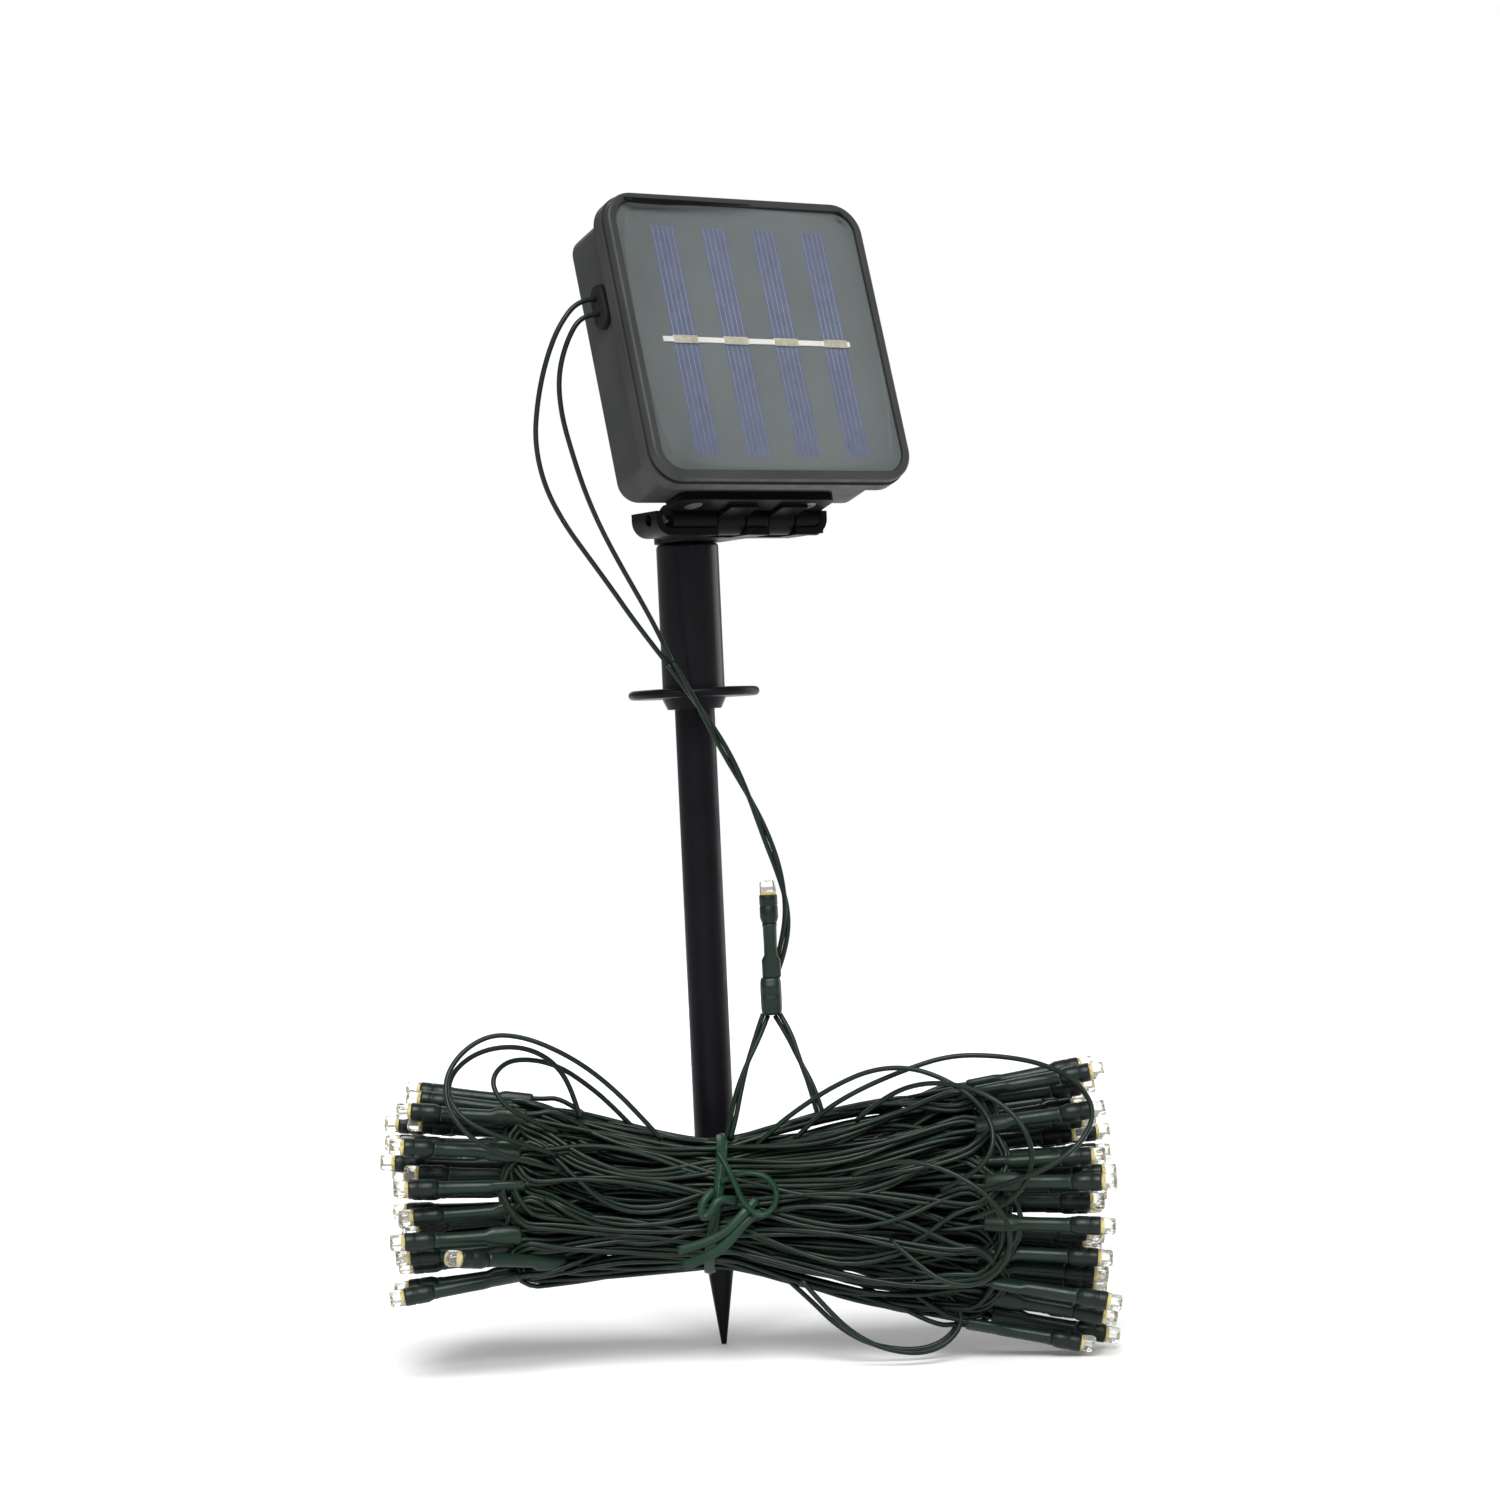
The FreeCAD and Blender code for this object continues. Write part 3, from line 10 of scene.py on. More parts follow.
import bpy
import numpy as np
from mathutils import Matrix, Vector
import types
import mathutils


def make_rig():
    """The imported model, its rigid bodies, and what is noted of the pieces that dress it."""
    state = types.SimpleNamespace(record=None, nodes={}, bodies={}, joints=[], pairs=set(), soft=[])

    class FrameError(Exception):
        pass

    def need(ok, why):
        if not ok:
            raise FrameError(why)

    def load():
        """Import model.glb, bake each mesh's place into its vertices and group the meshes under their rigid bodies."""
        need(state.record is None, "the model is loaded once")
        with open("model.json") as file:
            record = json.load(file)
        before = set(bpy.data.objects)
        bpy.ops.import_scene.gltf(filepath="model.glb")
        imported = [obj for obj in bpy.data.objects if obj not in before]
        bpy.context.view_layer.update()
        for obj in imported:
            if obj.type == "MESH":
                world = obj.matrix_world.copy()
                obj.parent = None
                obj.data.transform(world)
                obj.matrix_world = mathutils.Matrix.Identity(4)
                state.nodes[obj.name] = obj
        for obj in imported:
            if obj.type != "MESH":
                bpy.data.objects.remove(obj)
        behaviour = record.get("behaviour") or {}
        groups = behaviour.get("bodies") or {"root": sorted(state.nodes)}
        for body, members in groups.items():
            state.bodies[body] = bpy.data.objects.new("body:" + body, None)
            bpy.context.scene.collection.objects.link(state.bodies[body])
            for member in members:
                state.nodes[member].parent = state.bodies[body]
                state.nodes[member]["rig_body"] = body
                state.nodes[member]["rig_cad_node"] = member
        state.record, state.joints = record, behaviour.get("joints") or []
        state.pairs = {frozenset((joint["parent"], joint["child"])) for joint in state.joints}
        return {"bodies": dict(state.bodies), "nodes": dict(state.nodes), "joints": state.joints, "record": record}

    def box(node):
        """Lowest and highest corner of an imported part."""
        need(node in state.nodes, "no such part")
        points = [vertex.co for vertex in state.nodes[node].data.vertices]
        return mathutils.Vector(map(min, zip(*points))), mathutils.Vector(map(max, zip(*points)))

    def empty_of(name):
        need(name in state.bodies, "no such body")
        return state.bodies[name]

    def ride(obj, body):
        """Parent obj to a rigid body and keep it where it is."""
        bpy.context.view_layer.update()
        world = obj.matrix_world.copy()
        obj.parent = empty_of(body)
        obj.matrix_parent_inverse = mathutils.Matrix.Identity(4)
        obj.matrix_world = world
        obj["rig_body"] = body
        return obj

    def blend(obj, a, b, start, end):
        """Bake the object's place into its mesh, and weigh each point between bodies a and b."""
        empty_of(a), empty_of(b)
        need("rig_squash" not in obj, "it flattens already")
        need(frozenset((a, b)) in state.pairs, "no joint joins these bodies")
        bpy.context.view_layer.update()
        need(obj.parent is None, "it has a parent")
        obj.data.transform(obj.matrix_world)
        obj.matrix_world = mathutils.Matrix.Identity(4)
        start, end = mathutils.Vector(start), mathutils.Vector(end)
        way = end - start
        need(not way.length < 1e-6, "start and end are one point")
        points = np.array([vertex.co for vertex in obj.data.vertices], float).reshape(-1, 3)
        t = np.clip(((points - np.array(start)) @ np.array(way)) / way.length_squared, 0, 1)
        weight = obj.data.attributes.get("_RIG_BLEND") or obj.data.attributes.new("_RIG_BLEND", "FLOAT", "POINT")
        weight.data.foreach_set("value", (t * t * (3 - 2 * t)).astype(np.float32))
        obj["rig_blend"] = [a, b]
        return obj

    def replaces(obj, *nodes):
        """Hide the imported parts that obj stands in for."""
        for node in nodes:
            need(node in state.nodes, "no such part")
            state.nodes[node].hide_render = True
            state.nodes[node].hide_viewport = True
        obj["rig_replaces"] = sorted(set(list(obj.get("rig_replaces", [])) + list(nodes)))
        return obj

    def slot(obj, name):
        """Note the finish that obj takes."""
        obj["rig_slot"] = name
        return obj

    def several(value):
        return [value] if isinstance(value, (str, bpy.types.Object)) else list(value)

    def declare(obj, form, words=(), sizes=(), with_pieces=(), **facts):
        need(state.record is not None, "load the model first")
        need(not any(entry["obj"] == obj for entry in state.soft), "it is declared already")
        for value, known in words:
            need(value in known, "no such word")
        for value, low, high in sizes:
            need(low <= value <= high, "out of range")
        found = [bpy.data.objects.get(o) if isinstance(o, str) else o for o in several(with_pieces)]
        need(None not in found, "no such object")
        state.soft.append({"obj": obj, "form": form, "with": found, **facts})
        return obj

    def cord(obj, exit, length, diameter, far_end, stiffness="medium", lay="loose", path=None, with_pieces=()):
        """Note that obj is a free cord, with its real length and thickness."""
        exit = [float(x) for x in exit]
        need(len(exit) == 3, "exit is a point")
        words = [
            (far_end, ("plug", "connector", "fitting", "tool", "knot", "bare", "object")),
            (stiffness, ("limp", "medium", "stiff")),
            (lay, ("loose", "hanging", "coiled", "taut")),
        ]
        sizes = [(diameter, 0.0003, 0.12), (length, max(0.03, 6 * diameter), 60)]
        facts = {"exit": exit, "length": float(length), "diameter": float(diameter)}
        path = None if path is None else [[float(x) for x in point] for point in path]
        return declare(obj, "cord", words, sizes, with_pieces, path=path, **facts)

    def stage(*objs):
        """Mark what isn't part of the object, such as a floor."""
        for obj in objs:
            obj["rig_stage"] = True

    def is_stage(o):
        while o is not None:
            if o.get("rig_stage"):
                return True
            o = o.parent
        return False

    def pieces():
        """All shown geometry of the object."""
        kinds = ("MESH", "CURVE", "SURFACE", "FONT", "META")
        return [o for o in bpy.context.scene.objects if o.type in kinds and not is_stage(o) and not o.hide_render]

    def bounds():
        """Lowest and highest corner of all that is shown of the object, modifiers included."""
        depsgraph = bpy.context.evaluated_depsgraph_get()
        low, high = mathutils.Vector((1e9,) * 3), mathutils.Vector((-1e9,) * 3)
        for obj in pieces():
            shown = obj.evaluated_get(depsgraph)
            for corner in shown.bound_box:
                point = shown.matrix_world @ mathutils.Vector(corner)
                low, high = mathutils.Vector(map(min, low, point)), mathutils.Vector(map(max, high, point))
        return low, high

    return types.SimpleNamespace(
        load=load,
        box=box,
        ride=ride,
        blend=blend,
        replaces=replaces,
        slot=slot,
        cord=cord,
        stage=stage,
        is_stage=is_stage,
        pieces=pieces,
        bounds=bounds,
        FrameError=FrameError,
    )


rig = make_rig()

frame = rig.load()
CAD_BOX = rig.bounds()

MM = 0.001
SEED = 7
# Radius of one wire, and of a twisted pair.
WIRE = 0.75 * MM
PAIR = 2 * WIRE
STRING_TURN = math.radians(-32.5)


# ---------------------------------------------------------------- frames

def turned(across, out, up):
    """A point of the string's frame in metres, from millimetres."""
    c, s = math.cos(STRING_TURN), math.sin(STRING_TURN)
    return Vector((across * c + out * s, across * s - out * c, up)) * MM


ACROSS = np.array(turned(1, 0, 0)) / MM
OUTWARD = np.array(turned(0, 1, 0)) / MM


def joint(name):
    """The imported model's row for a joint."""
    return next(j for j in frame["joints"] if j["name"] == name)


# The head's frame is found from its buttons' press direction and the tilt hinge.
TILT_PIVOT = Vector(joint("tilt")["pos_m"])
HEAD_BACK = -Vector(joint("power_press")["axis"]).normalized()
HEAD_UP = Vector((1, 0, 0)).cross(HEAD_BACK)
HINGE_IN_HEAD = Vector((0, 33.0, -45.0)) * MM
FACE_CENTRE = TILT_PIVOT - HEAD_BACK * HINGE_IN_HEAD.y - HEAD_UP * HINGE_IN_HEAD.z
HEAD = Matrix((
    (1, HEAD_BACK.x, HEAD_UP.x, FACE_CENTRE.x),
    (0, HEAD_BACK.y, HEAD_UP.y, FACE_CENTRE.y),
    (0, HEAD_BACK.z, HEAD_UP.z, FACE_CENTRE.z),
    (0, 0, 0, 1),
))


def in_head(x, depth, up):
    """A point of the head's frame in metres, from millimetres."""
    return HEAD @ (Vector((x, depth, up)) * MM)


# ---------------------------------------------------------------- camera

CAMERA_PLACE = (-0.5285, -0.8576, 0.1806)
CAMERA_HEADING = math.radians(-32.57)
CAMERA_ROLL = math.radians(-2.66)
CAMERA_LENS_MM = 79.2
SENSOR_WIDTH_MM = 36


def make_camera():
    """The camera, level on its heading and then rolled a little."""
    data = bpy.data.cameras.new("camera")
    data.lens = CAMERA_LENS_MM
    data.sensor_width = SENSOR_WIDTH_MM
    camera = bpy.data.objects.new("camera", data)
    turn = Matrix.Rotation(CAMERA_HEADING, 4, "Z") @ Matrix.Rotation(math.pi / 2, 4, "X")
    camera.matrix_world = (Matrix.Translation(CAMERA_PLACE) @ turn
                           @ Matrix.Rotation(CAMERA_ROLL, 4, "Z"))
    bpy.context.scene.collection.objects.link(camera)
    bpy.context.scene.camera = camera


# ---------------------------------------------------------------- materials

# How far the lit middle of the solar face reaches along x, y and z before the painted shade towards its sides takes
# over, and how far right that middle lies.
FACE_SHADE_REACH = Vector((70, 140, 140)) * MM
FACE_SHADE_SHIFT = Vector((6, 0, 0)) * MM
EDGE_ROUNDING = 0.4 * MM
PLASTIC_GRAIN = 2600
# Sockets of a Mix node that mixes two colours.
MIX_FACTOR, MIX_FIRST, MIX_SECOND, MIX_RESULT = 0, 6, 7, 2


class Shader:
    """A material with a Principled shader and small helpers for the nodes that drive it."""

    def __init__(self, name):
        self.material = bpy.data.materials.new(name)
        self.material.use_nodes = True
        self.tree = self.material.node_tree
        self.main = self.tree.nodes["Principled BSDF"]
        self.place = self.tree.nodes.new("ShaderNodeTexCoord").outputs["Object"]
        self.last_normal = None

    def new(self, kind, **values):
        """A new node, with its properties and input sockets set by name."""
        made = self.tree.nodes.new("ShaderNode" + kind)
        for key, value in values.items():
            if hasattr(made, key):
                setattr(made, key, value)
            else:
                made.inputs[key.replace("_", " ")].default_value = value
        return made

    def link(self, source, target):
        self.tree.links.new(source, target)

    def set(self, **values):
        """Sets sockets of the shader itself."""
        for key, value in values.items():
            self.main.inputs[key.replace("_", " ")].default_value = value
        return self

    def noise(self, scale, detail, roughness=0.55, stretch=(1, 1, 1)):
        """Noise with features of about 1/scale metres. Stretch squeezes it along the axes."""
        mapping = self.new("Mapping")
        mapping.inputs["Scale"].default_value = stretch
        self.link(self.place, mapping.inputs["Vector"])
        noise = self.new("TexNoise", Scale=scale, Detail=detail, Roughness=roughness)
        self.link(mapping.outputs["Vector"], noise.inputs["Vector"])
        return noise.outputs["Fac"]

    def ramp(self, source, low, high, start=0.3, end=0.7):
        """Maps a grey value to a range of numbers or colours."""
        ramp = self.new("ValToRGB")
        ramp.color_ramp.elements[0].position = start
        ramp.color_ramp.elements[1].position = end
        for element, value in zip(ramp.color_ramp.elements, (low, high)):
            element.color = (*value, 1) if hasattr(value, "__len__") else (value, value, value, 1)
        self.link(source, ramp.inputs["Fac"])
        return ramp.outputs["Color"]

    def colour(self, source):
        self.link(source, self.main.inputs["Base Color"])

    def roughness(self, source):
        self.link(source, self.main.inputs["Roughness"])

    def bump(self, height, distance, strength):
        """Adds a relief on top of the rounded edges or of an earlier relief."""
        bump = self.new("Bump", Distance=distance, Strength=strength)
        self.link(height, bump.inputs["Height"])
        if self.last_normal is not None:
            self.link(self.last_normal, bump.inputs["Normal"])
        self.last_normal = bump.outputs["Normal"]
        self.link(self.last_normal, self.main.inputs["Normal"])

    def soft_edges(self):
        """Rounds sharp edges in the shading, as on moulded plastic."""
        bevel = self.new("Bevel", samples=4, Radius=EDGE_ROUNDING)
        self.last_normal = bevel.outputs["Normal"]
        self.link(self.last_normal, self.main.inputs["Normal"])
        return self

    def mix_colour(self, factor, first, second):
        """A mix of two colours, each of them a socket or a plain colour."""
        mix = self.new("Mix", data_type="RGBA")
        self.link(factor, mix.inputs[MIX_FACTOR])
        for source, target in ((first, mix.inputs[MIX_FIRST]), (second, mix.inputs[MIX_SECOND])):
            if hasattr(source, "is_linked"):
                self.link(source, target)
            else:
                target.default_value = (*source, 1)
        return mix.outputs[MIX_RESULT]


def moulded_plastic(name, dark, light, rough, grain=PLASTIC_GRAIN, shine=0.32):
    """Textured moulded plastic: faint cloudy colour, fine grain, dull patches and soft edges."""
    shader = Shader(name).soft_edges().set(Specular_IOR_Level=shine)
    shader.colour(shader.ramp(shader.noise(45, 5), dark, light))
    shader.roughness(shader.ramp(shader.noise(160, 6), *rough))
    shader.bump(shader.noise(grain, 2), 0.00004, 0.5)
    return shader.material


def glossy_plastic(name, dark, light, rough):
    """Smooth injection-moulded plastic with faint flow marks and rub marks."""
    shader = Shader(name).soft_edges()
    shader.set(Coat_Weight=0.12, Coat_Roughness=0.12, Specular_IOR_Level=0.16)
    shader.colour(shader.ramp(shader.noise(30, 5), dark, light))
    shader.roughness(shader.ramp(shader.noise(220, 8, 0.7, (1, 1, 0.15)), *rough))
    shader.bump(shader.noise(90, 4), 0.00012, 0.25)
    return shader.material


def wire_skin(name, dark, light, rough=(0.28, 0.5)):
    """Soft PVC insulation: slight colour drift along the wire, and small scuffs."""
    shader = Shader(name).set(Specular_IOR_Level=0.25)
    shader.colour(shader.ramp(shader.noise(60, 6), dark, light))
    shader.roughness(shader.ramp(shader.noise(500, 6, 0.7), *rough))
    shader.bump(shader.noise(1400, 3), 0.00006, 0.4)
    return shader.material


def metal(name, dark, light, rough, scale=300, stretch=(1, 1, 1), metallic=1.0):
    """Plated or tinned metal with fine streaks."""
    shader = Shader(name).set(Metallic=metallic)
    shader.colour(shader.ramp(shader.noise(scale, 6, 0.6, stretch), dark, light))
    shader.roughness(shader.ramp(shader.noise(scale * 2, 6, 0.7, stretch), *rough))
    shader.bump(shader.noise(scale * 3, 4, 0.6, stretch), 0.00003, 0.5)
    return shader.material


def painted_face_shade(shader, centre, edge):
    """Painted shade: a colour that is lighter in the middle of the solar face and darker towards its sides, standing
    in for the shade that the frame's lip casts on the recessed face.
    """
    middle = FACE_CENTRE + FACE_SHADE_SHIFT
    mapping = shader.new("Mapping")
    mapping.inputs["Scale"].default_value = [1 / reach for reach in FACE_SHADE_REACH]
    mapping.inputs["Location"].default_value = [-at / reach for at, reach in zip(middle, FACE_SHADE_REACH)]
    shader.link(shader.place, mapping.inputs["Vector"])
    shade_gradient = shader.new("TexGradient", gradient_type="SPHERICAL")
    shader.link(mapping.outputs["Vector"], shade_gradient.inputs["Vector"])
    return shader.ramp(shade_gradient.outputs["Fac"], edge, centre, 0.35, 0.65)


def cell_glass(name, dark, light):
    """Silicon cells: dull blue-violet with cloudy crystals, mixed with a painted shade that darkens them towards the
    sides of the face.
    """
    shader = Shader(name).set(Metallic=0.1, Specular_IOR_Level=0.2)
    crystals = shader.new("TexVoronoi", Scale=340.0)
    shader.link(shader.place, crystals.inputs["Vector"])
    tone = shader.ramp(crystals.outputs["Color"], dark, light, 0.1, 0.9)
    # Painted shade: the cells lighter in the middle of the face and darker towards its sides.
    shade = painted_face_shade(shader, light, dark)
    shader.colour(shader.mix_colour(shader.noise(200, 3), tone, shade))
    shader.roughness(shader.ramp(shader.noise(500, 4), 0.3, 0.5))
    return shader.material


def panel_board(name):
    """The grey-green board behind the resin, a little mottled, mixed with a painted shade that darkens it towards the
    sides of the face.
    """
    shader = Shader(name).set(Specular_IOR_Level=0.15)
    mottle = shader.ramp(shader.noise(35, 3), (0.072, 0.083, 0.082), (0.090, 0.103, 0.102))
    # Painted shade: the board lighter in the middle of the face and darker towards its sides.
    shade = painted_face_shade(shader, (0.104, 0.118, 0.119), (0.056, 0.062, 0.061))
    shader.colour(shader.mix_colour(shader.noise(60, 2), mottle, shade))
    shader.roughness(shader.ramp(shader.noise(40, 2), 0.6, 0.7))
    return shader.material


def resin(name):
    """Clear poured resin, very slightly milky, with slow surface waves."""
    shader = Shader(name)
    shader.set(Alpha=0.1, IOR=1.5, Coat_Weight=0.35, Coat_Roughness=0.03)
    shader.colour(shader.ramp(shader.noise(25, 4), (0.20, 0.22, 0.22), (0.25, 0.27, 0.27)))
    shader.roughness(shader.ramp(shader.noise(40, 2), 0.04, 0.07))
    shader.bump(shader.noise(12, 2), 0.0008, 0.2)
    return shader.material


def clear_lens(name):
    """Clear moulded lens of a light, faintly warm."""
    shader = Shader(name)
    shader.set(Transmission_Weight=0.92, IOR=1.45, Coat_Weight=0.3)
    shader.colour(shader.ramp(shader.noise(400, 3), (0.93, 0.94, 0.90), (1.0, 1.0, 0.97)))
    shader.roughness(shader.ramp(shader.noise(700, 3), 0.03, 0.12))
    shader.bump(shader.noise(500, 2), 0.00005, 0.3)
    return shader.material


def phosphor(name):
    """The yellow chip inside a light."""
    shader = Shader(name)
    shader.colour(shader.ramp(shader.noise(900, 4), (0.75, 0.55, 0.10), (0.95, 0.80, 0.30)))
    shader.roughness(shader.ramp(shader.noise(1500, 4), 0.4, 0.7))
    shader.bump(shader.noise(3000, 3), 0.00003, 0.5)
    return shader.material


def circuit_mask(name):
    """Green solder mask over faint copper tracks."""
    shader = Shader(name)
    tracks = shader.new("TexBrick", Scale=260.0)
    shader.link(shader.place, tracks.inputs["Vector"])
    green = shader.ramp(shader.noise(120, 5), (0.01, 0.10, 0.04), (0.02, 0.16, 0.06))
    shader.colour(shader.mix_colour(tracks.outputs["Fac"], green, (0.04, 0.22, 0.09)))
    shader.roughness(shader.ramp(shader.noise(400, 4), 0.2, 0.4))
    shader.bump(tracks.outputs["Fac"], 0.00005, 0.4)
    return shader.material


# Each look: its recipe, then what the recipe takes, which is mostly a dark and a light colour and the
# range of the roughness.
LOOKS = {
    "frame_plastic": (moulded_plastic, (0.022, 0.023, 0.023), (0.032, 0.033, 0.033), (0.42, 0.6)),
    "hinge_plastic": (moulded_plastic, (0.002, 0.002, 0.003), (0.004, 0.004, 0.005), (0.34, 0.5),
                      PLASTIC_GRAIN, 0.08),
    "stake_plastic": (glossy_plastic, (0.003, 0.003, 0.004), (0.006, 0.006, 0.009), (0.22, 0.36)),
    "spike_plastic": (moulded_plastic, (0.003, 0.003, 0.004), (0.005, 0.005, 0.008), (0.3, 0.45),
                      PLASTIC_GRAIN, 0.1),
    "rubber": (moulded_plastic, (0.004, 0.004, 0.004), (0.008, 0.008, 0.008), (0.6, 0.8), 1800, 0.2),
    "button_rubber": (moulded_plastic, (0.03, 0.03, 0.032), (0.06, 0.06, 0.064), (0.6, 0.85), 1800),
    "component": (moulded_plastic, (0.012, 0.012, 0.014), (0.03, 0.03, 0.032), (0.35, 0.6), 3000),
    "battery_sleeve": (glossy_plastic, (0.05, 0.20, 0.10), (0.08, 0.26, 0.14), (0.2, 0.35)),
    "wire_green": (wire_skin, (0.0020, 0.0072, 0.0042), (0.0052, 0.0145, 0.0085)),
    "wire_dark": (wire_skin, (0.003, 0.007, 0.0055), (0.006, 0.013, 0.0095)),
    "sleeve_green": (wire_skin, (0.004, 0.012, 0.008), (0.0092, 0.0225, 0.0152), (0.26, 0.44)),
    "tie_plastic": (wire_skin, (0.005, 0.021, 0.012), (0.010, 0.040, 0.023), (0.3, 0.5)),
    "steel": (metal, (0.42, 0.42, 0.40), (0.62, 0.62, 0.60), (0.25, 0.45)),
    "ribbon": (metal, (0.64, 0.63, 0.60), (0.78, 0.77, 0.73), (0.4, 0.55), 200, (0.2, 1, 1), 0.35),
    "solder": (metal, (0.72, 0.67, 0.50), (0.90, 0.86, 0.72), (0.35, 0.6), 500),
    "solar_cell": (cell_glass, (0.064, 0.077, 0.130), (0.092, 0.108, 0.166)),
    "cell_print": (cell_glass, (0.17, 0.19, 0.30), (0.20, 0.23, 0.34)),
    "panel_board": (panel_board,),
    "resin": (resin,),
    "lens_clear": (clear_lens,),
    "phosphor": (phosphor,),
    "circuit": (circuit_mask,),
}
MATERIALS = {look: recipe(look, *values) for look, (recipe, *values) in LOOKS.items()}

# Nodes that look a little different from the rest of their slot.
OWN_LOOK = {"ground_spike": "spike_plastic"}


def dress_cad_nodes():
    """Every CAD node takes the material of its slot, unless it has a look of its own."""
    for row in frame["record"]["subparts"]:
        obj = frame["nodes"][row["node"]]
        obj.data.materials.clear()
        obj.data.materials.append(MATERIALS[OWN_LOOK.get(row["node"], row["material_slot"])])


# ---------------------------------------------------------------- mesh helpers

# Two directions that no wire or light runs along, to measure crosswise directions from.
WIRE_SIDE = (0.3, 0.2, 0.9)
LIGHT_SIDE = (0.1, 0.2, 1.0)


def new_mesh(name, verts, faces, material, slot, body=None):
    """A smooth mesh object from points and faces, riding on a body."""
    data = bpy.data.meshes.new(name)
    data.from_pydata([tuple(v) for v in verts], [], faces)
    data.validate()
    data.polygons.foreach_set("use_smooth", [True] * len(data.polygons))
    obj = bpy.data.objects.new(name, data)
    obj.data.materials.append(MATERIALS[material])
    bpy.context.scene.collection.objects.link(obj)
    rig.slot(obj, slot)
    if body:
        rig.ride(obj, body)
    return obj


def ring_faces(start, rings, sides):
    """Quads between successive rings of points, and a cap at each end."""
    faces = []
    for ring in range(rings - 1):
        low = start + ring * sides
        for side in range(sides):
            after = (side + 1) % sides
            faces.append((low + side, low + after, low + sides + after, low + sides + side))
    faces.append(tuple(range(start + sides - 1, start - 1, -1)))
    last = start + (rings - 1) * sides
    faces.append(tuple(range(last, last + sides)))
    return faces


def crosswise(axis):
    """Two directions at right angles to the axis of a light, and to each other."""
    side = np.cross(axis, LIGHT_SIDE)
    side /= np.linalg.norm(side)
    return side, np.cross(axis, side)


def signed_power(value, power):
    """A power that keeps the sign of the value: below 1 it squares off a circle's cosine or sine."""
    return math.copysign(abs(value) ** power, value)


def frames_along(line, first_side):
    """Two crosswise directions at each point of a line, carried along it without twisting."""
    line = np.asarray(line)
    ahead = np.gradient(line, axis=0)
    ahead /= np.linalg.norm(ahead, axis=1)[:, None]
    side = np.array(first_side, float)
    sides, ups = [], []
    for direction in ahead:
        side = side - direction * side.dot(direction)
        side /= np.linalg.norm(side)
        sides.append(side)
        ups.append(np.cross(direction, side))
    return np.array(sides), np.array(ups)


class Tubes:
    """Collects round strands into one mesh."""

    def __init__(self, sides):
        self.sides = sides
        self.verts = []
        self.faces = []

    def add(self, line, radius):
        line = np.asarray(line, float)
        angles = np.arange(self.sides) * 2 * math.pi / self.sides
        cosines, sines = np.cos(angles)[:, None], np.sin(angles)[:, None]
        start = len(self.verts)
        for point, side, up in zip(line, *frames_along(line, WIRE_SIDE)):
            self.verts.extend(point + radius * (cosines * side + sines * up))
        self.faces += ring_faces(start, len(line), self.sides)
        return self

    def mesh(self, name, material, slot, body=None):
        return new_mesh(name, self.verts, self.faces, material, slot, body)


# Points of a line that are nearer than this, in metres, are one point.
SAME_PLACE = 1e-6


def spline_line(points, steps=10):
    """The smooth line of one open NURBS spline that has the points of a route as control points."""
    data = bpy.data.curves.new("route", "CURVE")
    data.dimensions = "3D"
    data.resolution_u = steps
    spline = data.splines.new("NURBS")
    spline.points.add(len(points) - 1)
    for control, point in zip(spline.points, points):
        control.co = (*point, 1)
    spline.order_u = 3
    spline.use_endpoint_u = True
    obj = bpy.data.objects.new("route", data)
    bpy.context.scene.collection.objects.link(obj)
    bpy.context.view_layer.update()
    mesh = bpy.data.meshes.new_from_object(obj)
    line = np.array([v.co for v in mesh.vertices], float)
    bpy.data.objects.remove(obj)
    bpy.data.meshes.remove(mesh)
    keep = np.append(True, np.linalg.norm(np.diff(line, axis=0), axis=1) > SAME_PLACE)
    return line[keep]


def length_of(line):
    return float(np.linalg.norm(np.diff(line, axis=0), axis=1).sum())


# Distance of a wire in a twisted pair from the pair's centre line, as a share of the wire's radius.
STRAND_SHARE = 1.02


def strands(line, pitch, first_side, phase=0.0):
    """The two wires of a twisted pair round its centre line."""
    across, up = frames_along(line, first_side)
    travelled = np.append(0, np.cumsum(np.linalg.norm(np.diff(line, axis=0), axis=1)))
    angle = (travelled / pitch * 2 * math.pi + phase)[:, None]
    offset = (np.cos(angle) * across + np.sin(angle) * up) * WIRE * STRAND_SHARE
    return line + offset, line - offset


# ---------------------------------------------------------------- routes of the leads and loose loops

LEAD_OUTER = [(-33.4, 51.5, 306), (-37.6, 52, 296), (-40.6, 50, 285), (-42.3, 46, 273),
              (-40.3, 42, 260.5), (-35.2, 38, 249.5), (-28.6, 34, 239.5), (-22, 30.5, 229.5),
              (-15.4, 27.3, 219), (-7, 25.2, 207.2)]
LEAD_INNER = [(-31.4, 51, 301.5), (-34.4, 49.5, 291.5), (-34.2, 45.5, 281), (-31.9, 42, 270.5),
              (-28.8, 38.5, 259), (-24.7, 34.5, 248), (-19.5, 30.5, 237), (-14, 27, 226.3),
              (-9, 25.6, 216), (-5.7, 25.5, 208)]
LEAD_PAIR = [(-6.6, 25.2, 208), (-0.5, 25.6, 198.2), (5.3, 25.2, 187.5), (10.6, 24.8, 177.2),
             (15.6, 24.7, 166.2), (20, 24.8, 154.5), (23.6, 25.2, 142.8), (25.2, 25.6, 131.6),
             (23.4, 26, 121.2), (20.4, 26.2, 113)]
TAIL_LEFT = [(17.2, 29, 102), (14.3, 30.5, 95), (10.8, 32.5, 87.5), (8, 34.5, 79.5), (6.4, 35.2, 73),
             (4.6, 36, 66.5)]
TAIL_RIGHT = [(20.6, 29, 102), (23.8, 30.5, 96.5), (26.4, 32.5, 89), (30.4, 35, 79.5), (32.5, 36, 70)]
